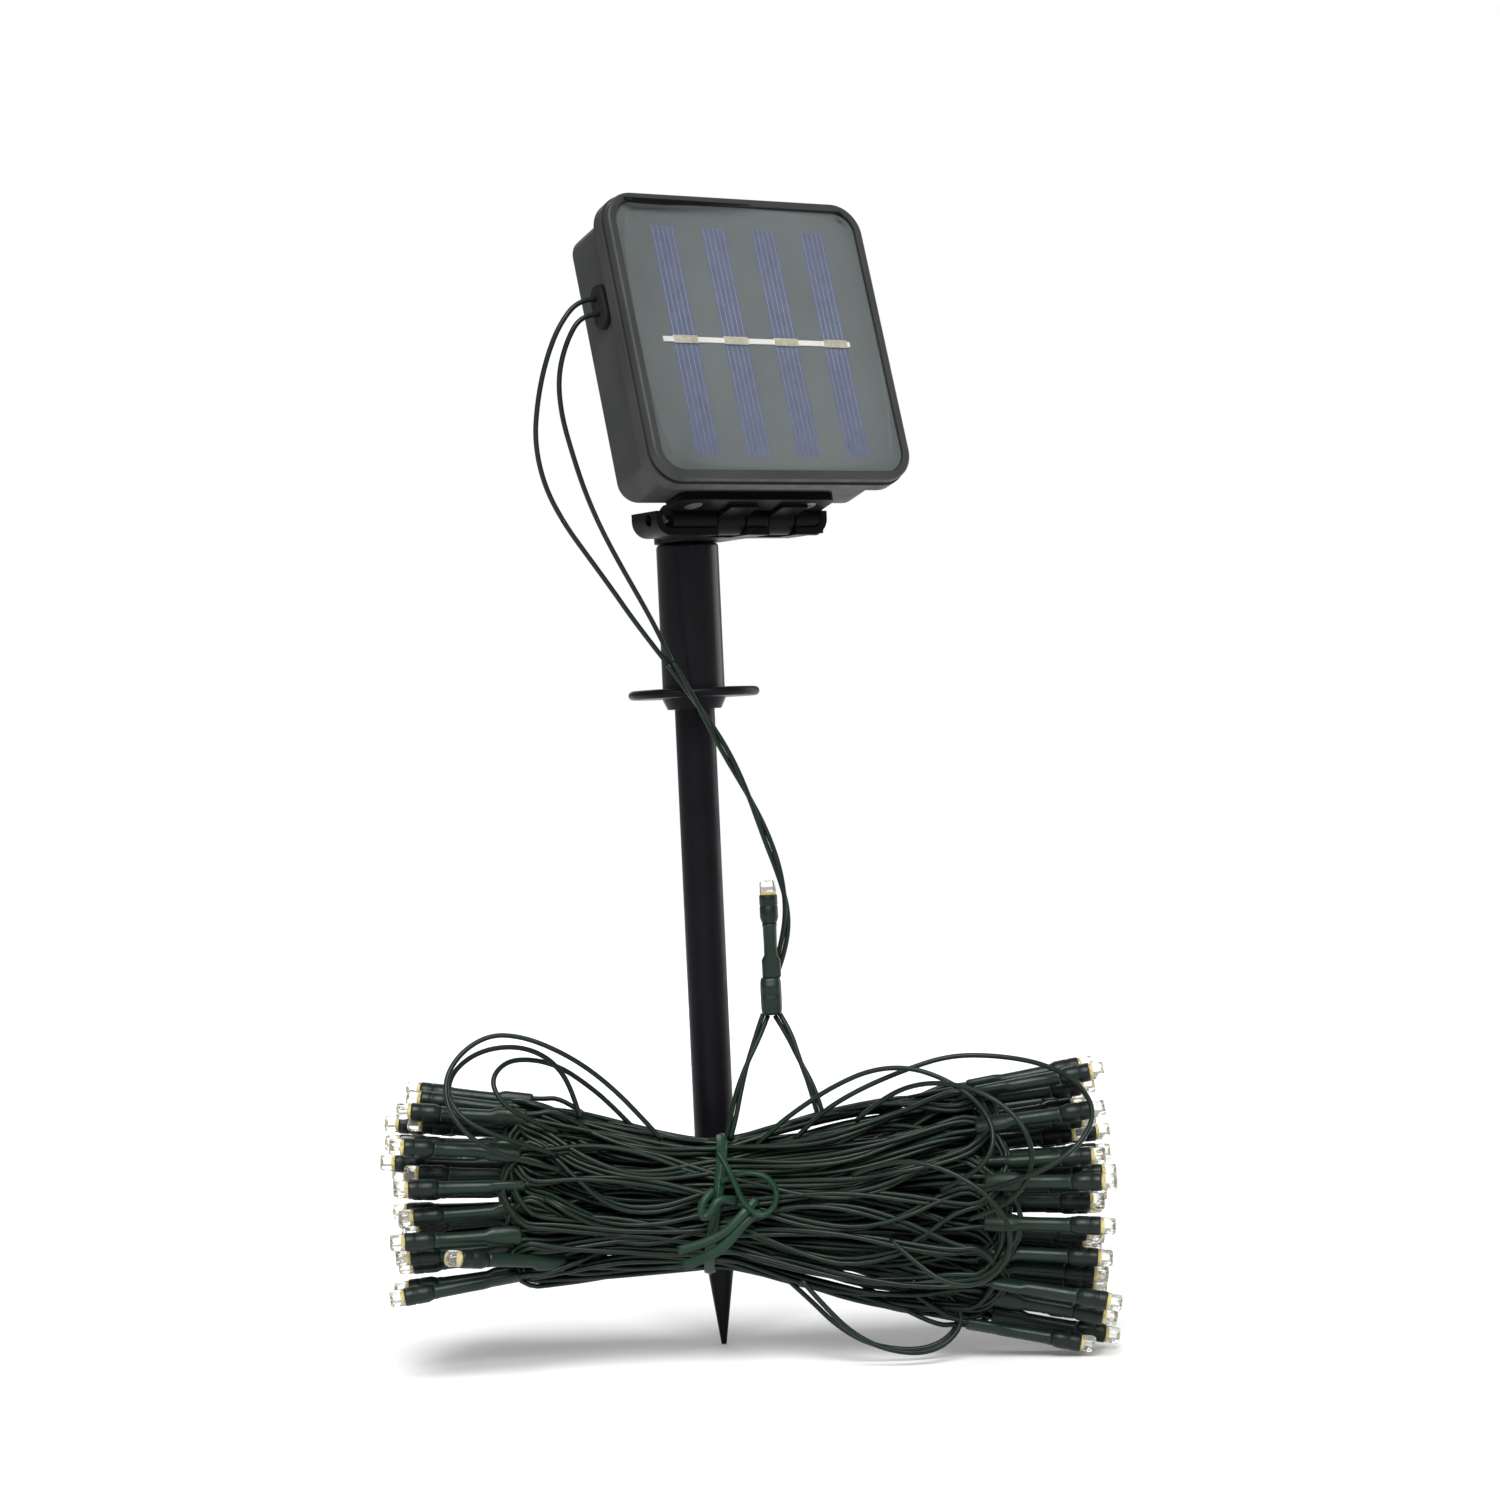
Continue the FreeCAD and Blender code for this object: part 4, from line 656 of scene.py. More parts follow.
LOOPS = {
    "loop_top_left": [(-45, 52, 66), (-54, 56, 70), (-63, 58, 73.5), (-71, 58, 78), (-76, 55, 85),
                      (-74, 50.5, 92), (-66, 46, 97), (-55, 43.5, 97.5), (-46, 42, 93),
                      (-40.5, 41, 84.5), (-38.5, 40, 75)],
    "loop_top_left_outer": [(-44, 54, 62), (-52.5, 58.5, 65), (-62, 61, 68.5), (-70, 61.5, 74),
                            (-75.5, 59.5, 82), (-76, 55.5, 90.5), (-71, 51.5, 97.5),
                            (-63, 48.5, 101.5), (-54.5, 47, 100.5), (-46, 46.5, 97),
                            (-37, 45.5, 91.5), (-28.5, 44, 84), (-21, 42.5, 75.5), (-15, 41, 68)],
    "loop_top_left_inner": [(-45, 47, 72), (-53, 52.5, 77), (-60, 53.5, 81.5), (-63.5, 51, 88.5),
                            (-59, 45.5, 93.5), (-51, 40, 93), (-43.5, 37.5, 90), (-37, 35.5, 85),
                            (-30, 33.5, 78.5), (-23, 33.5, 70.5)],
    "loop_top_right": [(24, 41, 66), (31, 42, 73), (42, 43.5, 79.5), (56, 44.5, 85), (70, 45, 89),
                       (84, 47, 88.5), (97, 52, 86), (106, 59, 81), (110, 67, 73), (104.5, 73, 64.5),
                       (94, 73.5, 58), (83.5, 69, 54), (75, 63, 51)],
    "loop_top_right_inner": [(10, 40, 62), (17, 41.5, 69), (26, 43, 75.5), (36, 44.5, 81.5),
                             (47, 46, 86), (58, 48.5, 86.5), (68, 52, 83), (76, 56.5, 77.5),
                             (81, 61, 70), (80, 64.5, 62), (73, 64, 55.5), (65, 60, 52)],
    "loop_front_right": [(42, 45, 71), (51, 49, 79), (64, 56, 83), (77, 62.5, 80.5), (87, 67, 73.5),
                         (91.5, 69.5, 64), (89.5, 70, 54), (82, 68, 47), (72.5, 63, 43.5)],
    "loop_front_low": [(40, 57, 57), (51, 62, 61.5), (64, 67, 60), (77, 70.5, 52.5), (84, 71.5, 42.5),
                       (82.5, 71.5, 32), (74.5, 70, 25.5), (65, 67, 26), (57, 62.5, 31.5), (50, 57, 38)],
    "loop_low_right": [(18, 40, 27), (26, 41.5, 19.5), (33.5, 42.5, 11.5), (42, 43.5, 6),
                       (52, 44, 3.6), (61.5, 43.5, 3.8), (69, 42.5, 8.5), (69.5, 41.5, 16.5),
                       (63, 40.5, 21)],
    "loop_low_right_outer": [(24, 48, 26), (31, 50, 17.5), (38.5, 51, 10), (47, 51.5, 5.4),
                             (57, 51, 3.4), (65, 49, 5.2), (70.5, 47, 11), (69, 45, 18.5),
                             (62.5, 43, 22)],
}
# Straight run out of the grommet, and the height at which a lead's upper piece meets its lower one.
LEAD_EXIT_RUN = 5.5 * MM
LEAD_CUT_HEIGHT = 250.5 * MM
LEAD_SIDES = 10
LOOP_STEPS = 12
PAIR_PITCH = 62 * MM
# The middle of the grommet's outer face in the head's frame, and the distance between its two wires.
GROMMET_EDGE = (-43.8, 16.4, 15.0)
WIRE_GAP = 4.8


def split_lead(label, side, route):
    """A lead from the grommet to the twisted pair, in a piece for each joint that it crosses."""
    left, depth, up = GROMMET_EDGE
    start = in_head(left, depth, up + side * WIRE_GAP / 2)
    points = [start, start + Vector((-LEAD_EXIT_RUN, 0, 0))] + [turned(*p) for p in route]
    line = spline_line(points)
    cut = int(np.argmin(np.abs(line[:, 2] - LEAD_CUT_HEIGHT)))
    halves = {
        f"{label}_upper": (line[:cut + 1], "head", "bracket"),
        f"{label}_lower": (line[cut:], "bracket", "stake"),
    }
    for name, (part, first, second) in halves.items():
        obj = Tubes(LEAD_SIDES).add(part, WIRE).mesh(name, "wire_dark", "wire_green")
        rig.blend(obj, first, second, start=part[0], end=part[-1])
        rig.replaces(obj, label)
        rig.cord(obj, exit=part[0], length=length_of(part), diameter=2 * WIRE, far_end="object",
                stiffness="limp", lay="hanging", path=part)


def pair_cord(label, route, phase=0.0):
    """A twisted pair along a route."""
    line = spline_line([turned(*p) for p in route])
    tubes = Tubes(LEAD_SIDES)
    for strand in strands(line, PAIR_PITCH, ACROSS, phase):
        tubes.add(strand, WIRE)
    obj = tubes.mesh(label + "_wires", "wire_green", "wire_green", "stake")
    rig.replaces(obj, label)
    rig.cord(obj, exit=line[0], length=length_of(line), diameter=2 * PAIR, far_end="object",
            stiffness="limp", lay="hanging", path=line)


def loose_loop(label, route):
    """A single wire that has slipped out of the hank in a loop."""
    line = spline_line([turned(*p) for p in route], LOOP_STEPS)
    obj = Tubes(LEAD_SIDES).add(line, WIRE).mesh(label + "_wire", "wire_green", "wire_green", "stake")
    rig.replaces(obj, label)
    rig.cord(obj, exit=line[0], length=length_of(line), diameter=2 * WIRE, far_end="object",
            stiffness="limp", lay="loose", path=line)


# ---------------------------------------------------------------- the hank

# Sections of the hank: across, centre out, centre up, half depth, half height.
HANK_SECTIONS = [(-62, 36, 54.6, 24, 32), (-40, 35, 51.5, 22, 27), (-4, 34, 47.5, 18.5, 20.4),
                 (4, 34, 47.5, 18.5, 20.4), (44, 37, 46, 24, 32), (84, 38, 44.5, 26, 40)]
# Places along the hank that every pass of the string goes through, and its centre at the tie.
HANK_STATIONS = (-49, -39, -28, -17, -7, 3, 13, 26, 40, 55, 69)
HANK_ENDS = (HANK_STATIONS[0], HANK_STATIONS[-1])
WAIST = (0, 34, 47.5)
# How far the middle of the outermost wires stays inside the hank's outline.
HANK_SKIN = 1.6
# Rings of wires in the hank: share of the radius, number of passes through the tie, and the number
# of places that a fold moves the string round its ring.
HANK_RINGS = ((0.95, 37, 5), (0.79, 31, 5), (0.62, 23, 4), (0.45, 17, 4), (0.28, 10, 3))
# A fold is about a half circle: shares of the gap to the next pass, and of the fold's reach.
FOLD_POINTS = ((0.0, 0.5), (0.5, 1.0), (1.0, 0.5))
REACH_PER_GAP = 0.58
LEAST_REACH = 5.5
REACH_STRETCH = (1.0, 1.3)
# How far a pass may stray: round the hank as an angle, and inwards as a share of the radius. A step is
# the most that a value changes from one pass to the next.
SWING = 0.34
SWING_STEP = 0.1
SINK = 0.13
SINK_STEP = 0.03
PHASE_STEP = 0.4
# The inward wave starts at this multiple of the sideways wave's phase.
SINK_PHASE = 1.7
# A random shift across, out and up, and the angle by which a pass crosses its neighbours.
SHAKE = (2, 0.7, 0.7)
CROSSING = 0.5
# A pass strays fully at this distance from the tie, and not at all in the tie.
FREE_FROM_TIE = 52
WAVE_LENGTH = 27
HANK_PITCH = 92 * MM
HANK_SIDES = 7
HANK_STEPS = 3


def section_at(across):
    """Centre out, centre up, half depth and half height of the hank, smooth between its sections."""
    places, *columns = zip(*HANK_SECTIONS)
    return [float(np.interp(across, places, column)) for column in columns]


def looseness(across):
    """From 0 in the tie to 1 where the string is free of it."""
    return min(1.0, abs(across) / FREE_FROM_TIE)


class Wander:
    """How one pass of the string strays from its place, more the further it is from the tie."""

    def __init__(self, rng, swing, sink, phase):
        self.rng = rng
        self.swing = max(-SWING, min(SWING, swing))
        self.sink = max(0, min(SINK, sink))
        self.phase = phase
        self.crossing = {end: rng.uniform(-CROSSING, CROSSING) for end in HANK_ENDS}

    def drifted(self):
        """The next pass strays in almost the same way, so that the fold between them stays open."""
        return Wander(self.rng, self.swing + self.rng.uniform(-SWING_STEP, SWING_STEP),
                      self.sink + self.rng.uniform(-SINK_STEP, SINK_STEP),
                      self.phase + self.rng.uniform(-PHASE_STEP, PHASE_STEP))

    def point(self, across, angle, share):
        """A place on the pass."""
        out, up, half_depth, half_height = section_at(across)
        away = looseness(across)
        wave = math.sin(self.phase + across / WAVE_LENGTH)
        end = HANK_ENDS[1] if across > 0 else HANK_ENDS[0]
        between = max(0, math.sin(math.pi * across / end))
        angle += self.swing * away * wave + self.crossing[end] * between
        share -= self.sink * away * (0.5 + 0.5 * math.cos(self.phase * SINK_PHASE + across / WAVE_LENGTH))
        return Vector((across, out + math.cos(angle) * share * (half_depth - HANK_SKIN),
                       up + math.sin(angle) * share * (half_height - HANK_SKIN)))

    def shaken(self, across, angle, share):
        """The same place with a small random shift."""
        away = looseness(across)
        shift = [self.rng.uniform(-size, size) * away for size in SHAKE]
        return self.point(across, angle, share) + Vector(shift)


def fold(before, after, edge, way, angle, turned_by, share, rng):
    """The points of a fold from one pass to the next, past the last station."""
    gap = (after.point(edge, angle + turned_by, share) - before.point(edge, angle, share)).length
    reach = max(LEAST_REACH, REACH_PER_GAP * gap) * rng.uniform(*REACH_STRETCH)
    points = []
    for part, out in FOLD_POINTS:
        across = edge + way * reach * out
        start = before.point(across, angle, share)
        end = after.point(across, angle + turned_by, share)
        points.append(start.lerp(end, part))
    return points


def hank_route():
    """The whole string: it runs through the tie, folds at one end, runs back and folds at the other."""
    rng = random.Random(SEED)
    points = []
    way = 1
    wander = Wander(rng, 0, SINK / 2, rng.uniform(0, 2 * math.pi))
    for share, count, step in HANK_RINGS:
        turned_by = step * 2 * math.pi / count
        angle = rng.uniform(0, turned_by)
        for _ in range(count):
            stations = HANK_STATIONS[::way]
            points.append(wander.point(stations[0], angle, share))
            for across in stations[1:-1]:
                points.append(wander.shaken(across, angle, share))
            points.append(wander.point(stations[-1], angle, share))
            after = wander.drifted()
            points += fold(wander, after, stations[-1], way, angle, turned_by, share, rng)
            angle += turned_by
            wander = after
            way = -way
    return [turned(*point) for point in points[:-len(FOLD_POINTS)]]


def hank():
    """The string in the hank, as one long twisted pair."""
    line = spline_line(hank_route(), HANK_STEPS)
    tubes = Tubes(HANK_SIDES)
    for strand in strands(line, HANK_PITCH, OUTWARD):
        tubes.add(strand, WIRE)
    obj = tubes.mesh("string_wires", "wire_green", "wire_green", "stake")
    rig.replaces(obj, "wire_hank")
    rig.cord(obj, exit=line[0], length=length_of(line), diameter=2 * PAIR, far_end="object",
            stiffness="limp", lay="coiled", path=line)


# ---------------------------------------------------------------- lights

def islands(node):
    """The points of each separate solid of a CAD node."""
    data = frame["nodes"][node].data
    co = np.zeros(len(data.vertices) * 3)
    data.vertices.foreach_get("co", co)
    co = co.reshape(-1, 3)
    keys, group = np.unique(np.round(co, 6), axis=0, return_inverse=True)
    group = group.ravel()
    parent = np.arange(len(keys))

    def root(i):
        while parent[i] != i:
            parent[i] = parent[parent[i]]
            i = parent[i]
        return i

    for polygon in data.polygons:
        first = root(group[polygon.vertices[0]])
        for vertex in polygon.vertices[1:]:
            parent[root(group[vertex])] = first
    roots = np.array([root(i) for i in range(len(keys))])
    return [keys[roots == r] for r in np.unique(roots)]


def unit_frames(end):
    """The base point and direction of every light at one end of the hank."""
    sleeves = islands(f"light_sleeves_{end}")
    lenses = [points.mean(0) for points in islands(f"light_lenses_{end}")]
    units = []
    for points in sleeves:
        centre = points.mean(0)
        spread = points - centre
        axis = np.linalg.svd(spread, full_matrices=False)[2][0]
        nearest = min(lenses, key=lambda p: np.linalg.norm(p - centre))
        if (nearest - centre).dot(axis) < 0:
            axis = -axis
        base = centre + axis * (spread @ axis).min()
        units.append((base, axis))
    return units


# Profiles of a turned piece: distance along its axis and radius. A sleeve has two radii, because its
# end is flat.
LENS_PROFILE = [(0.0, 2.30), (0.15, 2.45), (2.9, 2.45), (3.6, 2.36), (4.05, 2.15), (4.2, 1.9),
                (4.1, 1.6), (3.75, 1.1), (3.35, 0.55), (3.2, 0.02)]
COLLAR_PROFILE = [(0.0, 2.05), (0.5, 2.25), (1.6, 2.62), (2.0, 2.7), (5.0, 2.7), (5.2, 2.58), (5.5, 2.58),
                  (5.7, 2.7), (8.2, 2.7), (8.5, 2.6), (8.6, 2.4), (8.4, 2.2)]
SLEEVE_RINGS = [(0.0, 2.5, 1.45), (0.6, 2.8, 1.6), (8.4, 2.8, 1.65), (9.4, 2.45, 1.8), (10.6, 2.0, 1.95),
                (16, 1.96, 1.96), (21, 2.03, 2.03), (23.6, 2.05, 2.05), (24.2, 2.2, 2.2), (25.0, 2.2, 2.2)]
CHIP_PROFILE = [(0.1, 1.5), (0.9, 1.5), (1.2, 1.1), (1.25, 0.3)]
SLEEVE_LENGTH = 25.0
COLLAR_LENGTH = 8.6
UNIT_SIDES = 20
# The two wires behind a light: how far they bow apart and sag, in millimetres, and how far their last
# two points lie on the way to the tie.
WIRE_BOW = (2.2, 4.2)
WIRE_SAG = 1.5
HALFWAY = 0.35
INWARD = 0.7
LIGHT_WIRE_STEPS = 4


class Units:
    """Turned pieces of many lights, collected in one mesh."""

    def __init__(self):
        self.verts = []
        self.faces = []

    def add(self, base, axis, rings, spin=0.0):
        """Rings of (distance along the axis, first radius, second radius) in millimetres."""
        axis = np.asarray(axis, float)
        side, up = crosswise(axis)
        start = len(self.verts)
        for along, first, second in rings:
            for i in range(UNIT_SIDES):
                angle = i * 2 * math.pi / UNIT_SIDES
                flat_x = math.cos(angle) * first
                flat_y = math.sin(angle) * second
                x = flat_x * math.cos(spin) - flat_y * math.sin(spin)
                y = flat_x * math.sin(spin) + flat_y * math.cos(spin)
                self.verts.append(base + (axis * along + side * x + up * y) * MM)
        self.faces += ring_faces(start, len(rings), UNIT_SIDES)
        return self

    def mesh(self, name, material, slot):
        return new_mesh(name, self.verts, self.faces, material, slot, "stake")


def round_rings(profile, shift):
    """Rings of a round profile that starts at a distance along the axis."""
    return [(along + shift, radius, radius) for along, radius in profile]


def stretched_sleeve(length):
    """Sleeve rings for a sleeve of another length, with the same flat end and lip."""
    share = length / SLEEVE_LENGTH
    return [(along * share, first, second) for along, first, second in SLEEVE_RINGS]


def chip_rings(shift):
    """The cup and chip that sit low in the lens."""
    return round_rings(CHIP_PROFILE, shift)


def lights(end):
    """All lights at one end of the hank, with their wires running back to the tie."""
    rng = random.Random(SEED + len(end))
    sleeves, collars, lenses, chips = Units(), Units(), Units(), Units()
    wires = Tubes(HANK_SIDES)
    for base, axis in unit_frames(end):
        spin = rng.uniform(0, math.pi)
        sleeves.add(base, axis, stretched_sleeve(SLEEVE_LENGTH), spin)
        collars.add(base, axis, round_rings(COLLAR_PROFILE, SLEEVE_LENGTH))
        lenses.add(base, axis, round_rings(LENS_PROFILE, SLEEVE_LENGTH + COLLAR_LENGTH))
        chips.add(base, axis, chip_rings(SLEEVE_LENGTH + COLLAR_LENGTH))
        for line in unit_wires(base, axis, spin, rng):
            wires.add(line, WIRE)
    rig.replaces(sleeves.mesh(f"sleeves_{end}", "sleeve_green", "wire_green"), f"light_sleeves_{end}")
    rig.replaces(collars.mesh(f"collars_{end}", "wire_dark", "wire_green"), f"light_collars_{end}")
    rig.replaces(lenses.mesh(f"lenses_{end}", "lens_clear", "lens_clear"), f"light_lenses_{end}")
    chips.mesh(f"chips_{end}", "phosphor", "solder")
    wires.mesh(f"light_wires_{end}", "wire_green", "wire_green", "stake")


def unit_wires(base, axis, spin, rng):
    """Two wires from the flat end of a sleeve, bowed apart, then back towards the tie."""
    side, up = crosswise(axis)
    flat = side * math.cos(spin) + up * math.sin(spin)
    tie = np.array(turned(*WAIST))
    halfway = base * (1 - HALFWAY) + tie * HALFWAY
    inward = base * (1 - INWARD) + tie * INWARD
    for way in (-1, 1):
        bow = rng.uniform(*WIRE_BOW) * MM
        sag = up * rng.uniform(-WIRE_SAG, WIRE_SAG) * MM
        points = [
            base + flat * way * 1.3 * MM + axis * 2 * MM,
            base + flat * way * 1.4 * MM - axis * 2.5 * MM,
            base + flat * way * bow * 0.7 - axis * 8 * MM + sag,
            halfway + flat * way * bow + sag * 2,
            inward + flat * way * 1.2 * MM,
        ]
        yield spline_line(points, LIGHT_WIRE_STEPS)


FIRST_SLEEVE_LENGTH = 16.0


def first_light():
    """The single light that stands beside the lead."""
    low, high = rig.box("first_sleeve")
    base = np.array(((low.x + high.x) / 2, (low.y + high.y) / 2, low.z))
    axis = (0, 0, 1)
    pieces = {
        "first_sleeve": (stretched_sleeve(FIRST_SLEEVE_LENGTH), "sleeve_green", "wire_green"),
        "first_collar": (round_rings(COLLAR_PROFILE, FIRST_SLEEVE_LENGTH), "wire_dark", "wire_green"),
        "first_lens": (round_rings(LENS_PROFILE, FIRST_SLEEVE_LENGTH + COLLAR_LENGTH), "lens_clear",
                       "lens_clear"),
    }
    for node, (rings, material, slot) in pieces.items():
        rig.replaces(Units().add(base, axis, rings).mesh(node + "_turned", material, slot), node)
    chip = chip_rings(FIRST_SLEEVE_LENGTH + COLLAR_LENGTH)
    Units().add(base, axis, chip).mesh("first_chip", "phosphor", "solder")


# The shrink sleeve: centre across and out, half width and half depth, number of rings and of sides.
SPLICE_CENTRE = (19.15, 28.9)
SPLICE_HALF_WIDTH = 3.15
SPLICE_HALF_DEPTH = 4.4
SPLICE_RINGS = 26
SPLICE_SIDES = 40
SPLICE_ROUNDNESS = 0.62
# How much it narrows at its ends and bulges between them, and how quickly each of these changes.
SPLICE_PINCH = 0.16
PINCH_RATE = 14
SPLICE_BULGE = 0.03
BULGE_RATE = 19


def splice():
    """A flat shrink sleeve: pinched at its ends, with bulges over the joints inside."""
    low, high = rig.box("splice_sleeve")
    verts = []
    for ring in range(SPLICE_RINGS):
        t = ring / (SPLICE_RINGS - 1)
        pinch = 1 - SPLICE_PINCH * (math.exp(-t * PINCH_RATE) + math.exp(-(1 - t) * PINCH_RATE))
        bulge = 1 + SPLICE_BULGE * math.sin(t * BULGE_RATE)
        for side in range(SPLICE_SIDES):
            angle = side * 2 * math.pi / SPLICE_SIDES
            across = signed_power(math.cos(angle), SPLICE_ROUNDNESS) * SPLICE_HALF_WIDTH * pinch
            out = signed_power(math.sin(angle), SPLICE_ROUNDNESS) * SPLICE_HALF_DEPTH * pinch * bulge
            point = turned(SPLICE_CENTRE[0] + across, SPLICE_CENTRE[1] + out, 0)
            verts.append((point.x, point.y, low.z + (high.z - low.z) * t))
    faces = ring_faces(0, SPLICE_RINGS, SPLICE_SIDES)
    sleeve = new_mesh("splice_shrink", verts, faces, "sleeve_green", "wire_green", "stake")
    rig.replaces(sleeve, "splice_sleeve")


# ---------------------------------------------------------------- twist tie

TIE_STEPS = 72
TIE_WIDTH = 3.2
TIE_THICK = 0.85
# How far the band leans over to one side and waves, and how deep it presses into the string.
TIE_LEAN = 3.0
TIE_WAVE = 0.35
TIE_SINK = -0.5


def tie_section(width, thick):
    """Outline of a flat tie with a wire in its middle: distance along the width, and height."""
    return [(-width / 2, 0.15), (-width / 4, thick * 0.55), (-0.35, thick * 0.7), (0, thick),
            (0.35, thick * 0.7), (width / 4, thick * 0.55), (width / 2, 0.15), (width / 2, -0.05),
            (-width / 2, -0.05)]


def twist_tie():
    """The band of the tie, which goes round the waist of the hank."""
    verts, faces = [], []
    section = tie_section(TIE_WIDTH, TIE_THICK)
    out, up, half_depth, half_height = section_at(0)
    for step in range(TIE_STEPS):
        angle = step * 2 * math.pi / TIE_STEPS
        lean = TIE_LEAN * math.sin(angle) + TIE_WAVE * math.sin(3 * angle)
        for along, high in section:
            grow = TIE_SINK + high
            verts.append(turned(along + lean, out + math.cos(angle) * (half_depth + grow),
                                up + math.sin(angle) * (half_height + grow)))
    count = len(section)
    for step in range(TIE_STEPS):
        after = (step + 1) % TIE_STEPS
        for i in range(count):
            j = (i + 1) % count
            faces.append((step * count + i, step * count + j, after * count + j, after * count + i))
    band = new_mesh("tie_band", verts, faces, "tie_plastic", "tie_plastic", "stake")
    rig.replaces(band, "twist_tie")


# Loose lengths of the tie: width, then a route that lies on the front of the hank.
TIE_ENDS = (
    (2.4, [(-0.2, 53.4, 54), (-2.2, 55, 52.6), (-4.2, 56, 49.5), (-3.4, 56.4, 46.2), (-1.2, 56.2, 48),
           (0.4, 55.6, 51), (3.6, 54.2, 51.6), (6, 52.4, 50)]),
    (1.7, [(1.5, 52.6, 65), (3.8, 54.6, 61), (5.8, 55.4, 56.6), (8.2, 55.8, 50.2), (12.6, 56, 46),
           (17, 56, 48), (18.4, 56, 53), (15.6, 55.8, 57.6), (10.4, 55, 59), (5.4, 53.6, 58),
           (2, 51.6, 56)]),
    (2.7, [(12, 53.2, 50.6), (9.4, 55.2, 48.4), (6.2, 56, 45.2), (2.2, 56.2, 41.6), (-4.4, 55.8, 38.8),
           (-11.2, 54.6, 37.2)]),
    (3.1, [(12, 53, 46.6), (9, 54.8, 45.4), (5.4, 55.6, 41.4), (1, 55.6, 37), (-4.4, 54.8, 34.6),
           (-9.8, 53.2, 32.4)]),
)


def tie_ends():
    """The twist itself, a small loop and the two free ends, all flat strips that face outward."""
    verts, faces = [], []
    for width, route in TIE_ENDS:
        line = spline_line([turned(*p) for p in route])
        ahead = np.gradient(line, axis=0)
        side = np.cross(ahead, OUTWARD)
        side /= np.linalg.norm(side, axis=1)[:, None]
        face = np.cross(side, ahead)
        face /= np.linalg.norm(face, axis=1)[:, None]
        section = tie_section(width, TIE_THICK)
        start = len(verts)
        for point, crosswise, normal in zip(line, side, face):
            verts.extend(point + (crosswise * along + normal * high) * MM for along, high in section)
        faces += ring_faces(start, len(line), len(section))
    new_mesh("tie_ends", verts, faces, "tie_plastic", "tie_plastic", "stake")


# ---------------------------------------------------------------- solar face

PANEL_HALF = 41.8
RESIN_GRID = 40
# The resin's surface: its depth in the head's frame, the height of its crown, and how far it drops at
# the rim and how sharply. Its points crowd towards the rim, and its corners are cut back a little.
RESIN_DEPTH = -0.6
RESIN_CROWN = 0.5
RESIN_RIM = 1.25
RIM_SHARPNESS = 10
RIM_CROWDING = 0.72
CORNER_CUT = 0.09


def resin_dome():
    """Poured resin: a low crown with a rounded rim and softly rounded corners."""
    verts = []
    for row in range(RESIN_GRID + 1):
        for column in range(RESIN_GRID + 1):
            u, v = (signed_power(2 * place / RESIN_GRID - 1, RIM_CROWDING) for place in (column, row))
            half = PANEL_HALF * (1 - CORNER_CUT * (u * v) ** 2)
            rim = max(abs(u), abs(v)) ** RIM_SHARPNESS
            depth = RESIN_DEPTH - RESIN_CROWN * (1 - u * u) * (1 - v * v) + RESIN_RIM * rim
            verts.append(in_head(u * half, depth, v * half))
    width = RESIN_GRID + 1
    faces = [(r * width + c, r * width + c + 1, (r + 1) * width + c + 1, (r + 1) * width + c)
             for r in range(RESIN_GRID) for c in range(RESIN_GRID)]
    dome = new_mesh("resin_dome", verts, faces, "resin", "resin", "head")
    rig.replaces(dome, "resin_cover")


# Dark sheets that stand in for the shade where the resin has drawn back from the frame: across, lower and upper edge.
RESIN_GAP_SHADES = {
    "resin_slit_shade": ((-38.5, 41.3, 42.1), (-35.0, 40.5, 42.15), (-25.0, 40.3, 42.15), (-12.0, 41.0, 42.1),
                   (5.0, 41.8, 42.0)),
    "resin_nick_shade": ((35.4, 40.9, 41.3), (36.4, 40.1, 41.6), (37.6, 39.6, 40.7), (38.2, 39.5, 39.9)),
}
# Front and back depth of the dark sheets that paint the shade in the gaps.
GAP_SHADE_DEPTHS = (-1.15, -0.9)


def resin_gap_shades():
    """Painted shade at the edge of the resin: dark sheets for the shade in a slit under the top lip and in a nick near
    a corner.
    """
    front, back = GAP_SHADE_DEPTHS
    for name, stations in RESIN_GAP_SHADES.items():
        verts = []
        for x, low, high in stations:
            corners = ((front, low), (front, high), (back, high), (back, low))
            verts += [in_head(x, depth, up) for depth, up in corners]
        # A near-black sheet painted in as the shade of the gap.
        new_mesh(name, verts, ring_faces(0, len(stations), 4), "hinge_plastic", "rubber", "head")


STRIP_PLACES = (-26.1, -8.7, 8.7, 26.1)
STRIP_WIDTH = 8.4
STRIP_SPAN = (-37.3, 34.7)
FINGERS = 5
FINGER_HALF = 0.09
FINGER_DEPTHS = (0.93, 1.0)
CORNERS = ((0, 0), (1, 0), (1, 1), (0, 1))
BOX_FACES = ((0, 1, 2, 3), (7, 6, 5, 4), (0, 4, 5, 1), (1, 5, 6, 2), (2, 6, 7, 3), (3, 7, 4, 0))


def flat_bar(verts, faces, x_span, depth_span, up_span):
    """Adds a thin bar in the head's frame."""
    start = len(verts)
    for depth in depth_span:
        verts += [in_head(x_span[x], depth, up_span[up]) for x, up in CORNERS]
    faces += [tuple(start + i for i in quad) for quad in BOX_FACES]


def cell_fingers():
    """Fine pale lines printed along each strip of cells."""
    verts, faces = [], []
    for place in STRIP_PLACES:
        for finger in range(FINGERS):
            x = place + (finger - (FINGERS - 1) / 2) * STRIP_WIDTH / FINGERS
            flat_bar(verts, faces, (x - FINGER_HALF, x + FINGER_HALF), FINGER_DEPTHS, STRIP_SPAN)
    new_mesh("cell_fingers", verts, faces, "cell_print", "ribbon", "head")


# ---------------------------------------------------------------- studio

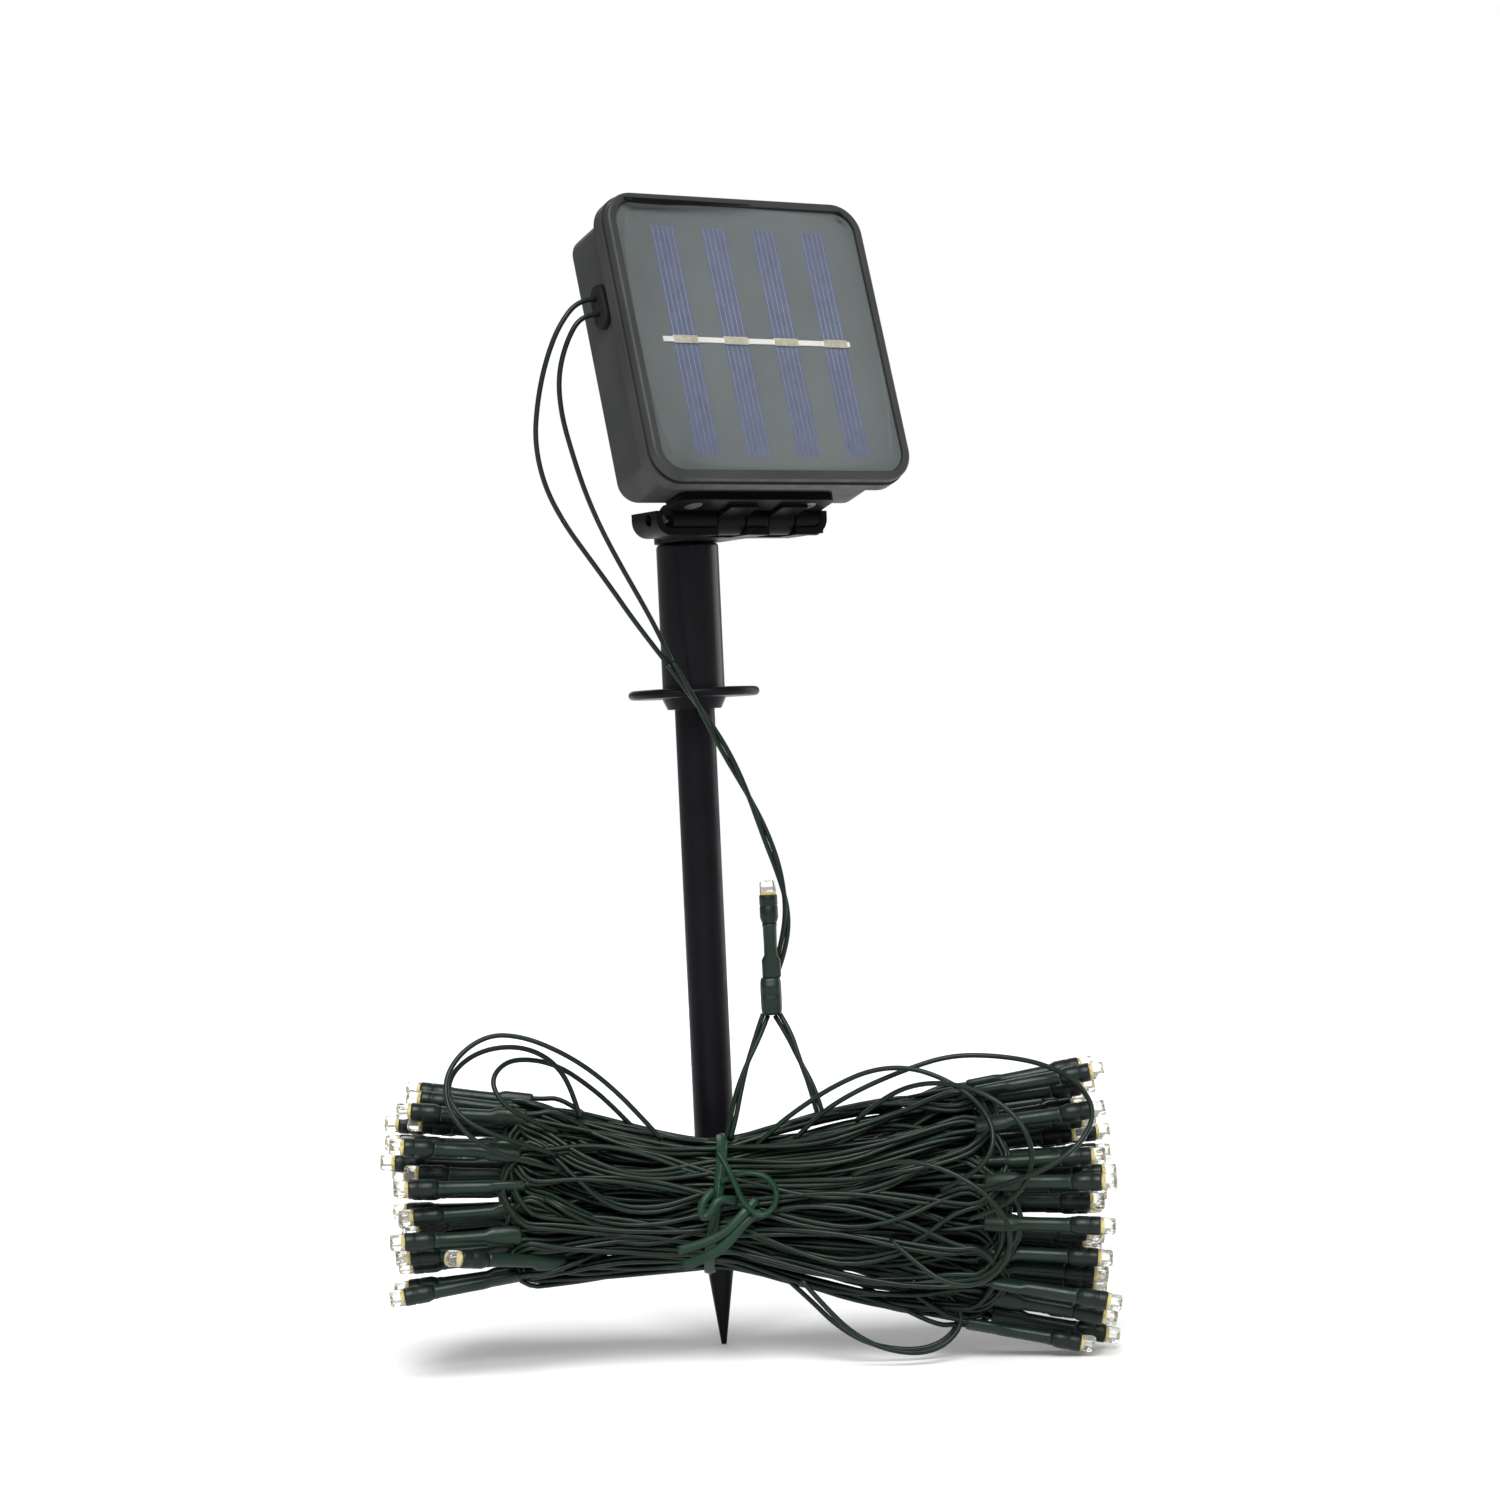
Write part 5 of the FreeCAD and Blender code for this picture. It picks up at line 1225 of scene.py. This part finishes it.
def area_light(name, place, aim, size, power):
    """A rectangular light that faces a point."""
    data = bpy.data.lights.new(name, "AREA")
    data.shape = "RECTANGLE"
    data.size, data.size_y = size
    data.energy = power
    obj = bpy.data.objects.new(name, data)
    obj.location = place
    obj.rotation_euler = (Vector(aim) - Vector(place)).to_track_quat("-Z", "Y").to_euler()
    bpy.context.scene.collection.objects.link(obj)


AIM = (0, -0.02, 0.17)
# Name, place, the point that it faces, width and height, and power.
AREA_LIGHTS = (
    ("key", (-1.3, -1.1, 1.3), AIM, (1.1, 1.1), 5),
    ("fill", (-0.3, -1.2, 1.5), AIM, (1.2, 1.2), 3),
    ("rim", (0.6, 1.3, 0.9), AIM, (0.9, 1.2), 5),
    ("edge", (1.2, -0.05, 0.35), (0, -0.02, 0.25), (0.8, 1.0), 4.5),
)
AMBIENT = 0.3
SUN_SIDE = (-0.5, -0.75, 1.0)
SUN_STRENGTH = 3.6
SUN_SPREAD = math.radians(38)
FLOOR_HALF = 6


def soft_sun():
    """A large soft light from the upper left of the front."""
    data = bpy.data.lights.new("sun", "SUN")
    data.energy = SUN_STRENGTH
    data.angle = SUN_SPREAD
    obj = bpy.data.objects.new("sun", data)
    obj.rotation_euler = (-Vector(SUN_SIDE)).to_track_quat("-Z", "Y").to_euler()
    bpy.context.scene.collection.objects.link(obj)


def studio_world():
    """White as a background and dimmer as a light, so that dark plastic stays dark."""
    world = bpy.data.worlds.new("studio")
    world.use_nodes = True
    tree = world.node_tree
    seen = tree.nodes.new("ShaderNodeLightPath")
    strength = tree.nodes.new("ShaderNodeMapRange")
    strength.inputs["To Min"].default_value = AMBIENT
    strength.inputs["To Max"].default_value = 1.0
    tree.links.new(seen.outputs["Is Camera Ray"], strength.inputs["Value"])
    background = tree.nodes["Background"]
    background.inputs["Color"].default_value = (1, 1, 1, 1)
    tree.links.new(strength.outputs["Result"], background.inputs["Strength"])
    bpy.context.scene.world = world


def studio_floor():
    """A large pale floor, which is part of the studio and not of the model."""
    corners = ((-1, -1), (1, -1), (1, 1), (-1, 1))
    data = bpy.data.meshes.new("floor")
    data.from_pydata([(x * FLOOR_HALF, y * FLOOR_HALF, 0) for x, y in corners], [], [(0, 1, 2, 3)])
    floor = bpy.data.objects.new("floor", data)
    shader = Shader("floor")
    shader.colour(shader.ramp(shader.noise(3, 3), (0.93, 0.93, 0.93), (0.95, 0.95, 0.95)))
    shader.set(Roughness=0.85)
    floor.data.materials.append(shader.material)
    bpy.context.scene.collection.objects.link(floor)
    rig.stage(floor)


def studio():
    """Lights, world and floor."""
    for light in AREA_LIGHTS:
        area_light(*light)
    soft_sun()
    studio_world()
    studio_floor()
    bpy.context.scene.view_settings.view_transform = "Standard"


# ---------------------------------------------------------------- the whole scene

make_camera()
split_lead("lead_outer", 1, LEAD_OUTER)
split_lead("lead_inner", -1, LEAD_INNER)
pair_cord("lead_pair", LEAD_PAIR, math.pi)
pair_cord("tail_left", TAIL_LEFT)
pair_cord("tail_right", TAIL_RIGHT)
for loop, loop_route in LOOPS.items():
    loose_loop(loop, loop_route)
hank()
dress_cad_nodes()
for hank_end in ("left", "right", "front"):
    lights(hank_end)
first_light()
splice()
twist_tie()
tie_ends()
resin_dome()
resin_gap_shades()
cell_fingers()
studio()

with open("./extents.json", "w") as size_file:
    boxes = {"cad": [list(corner) for corner in CAD_BOX], "visual": [list(corner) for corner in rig.bounds()]}
    json.dump(boxes, size_file)
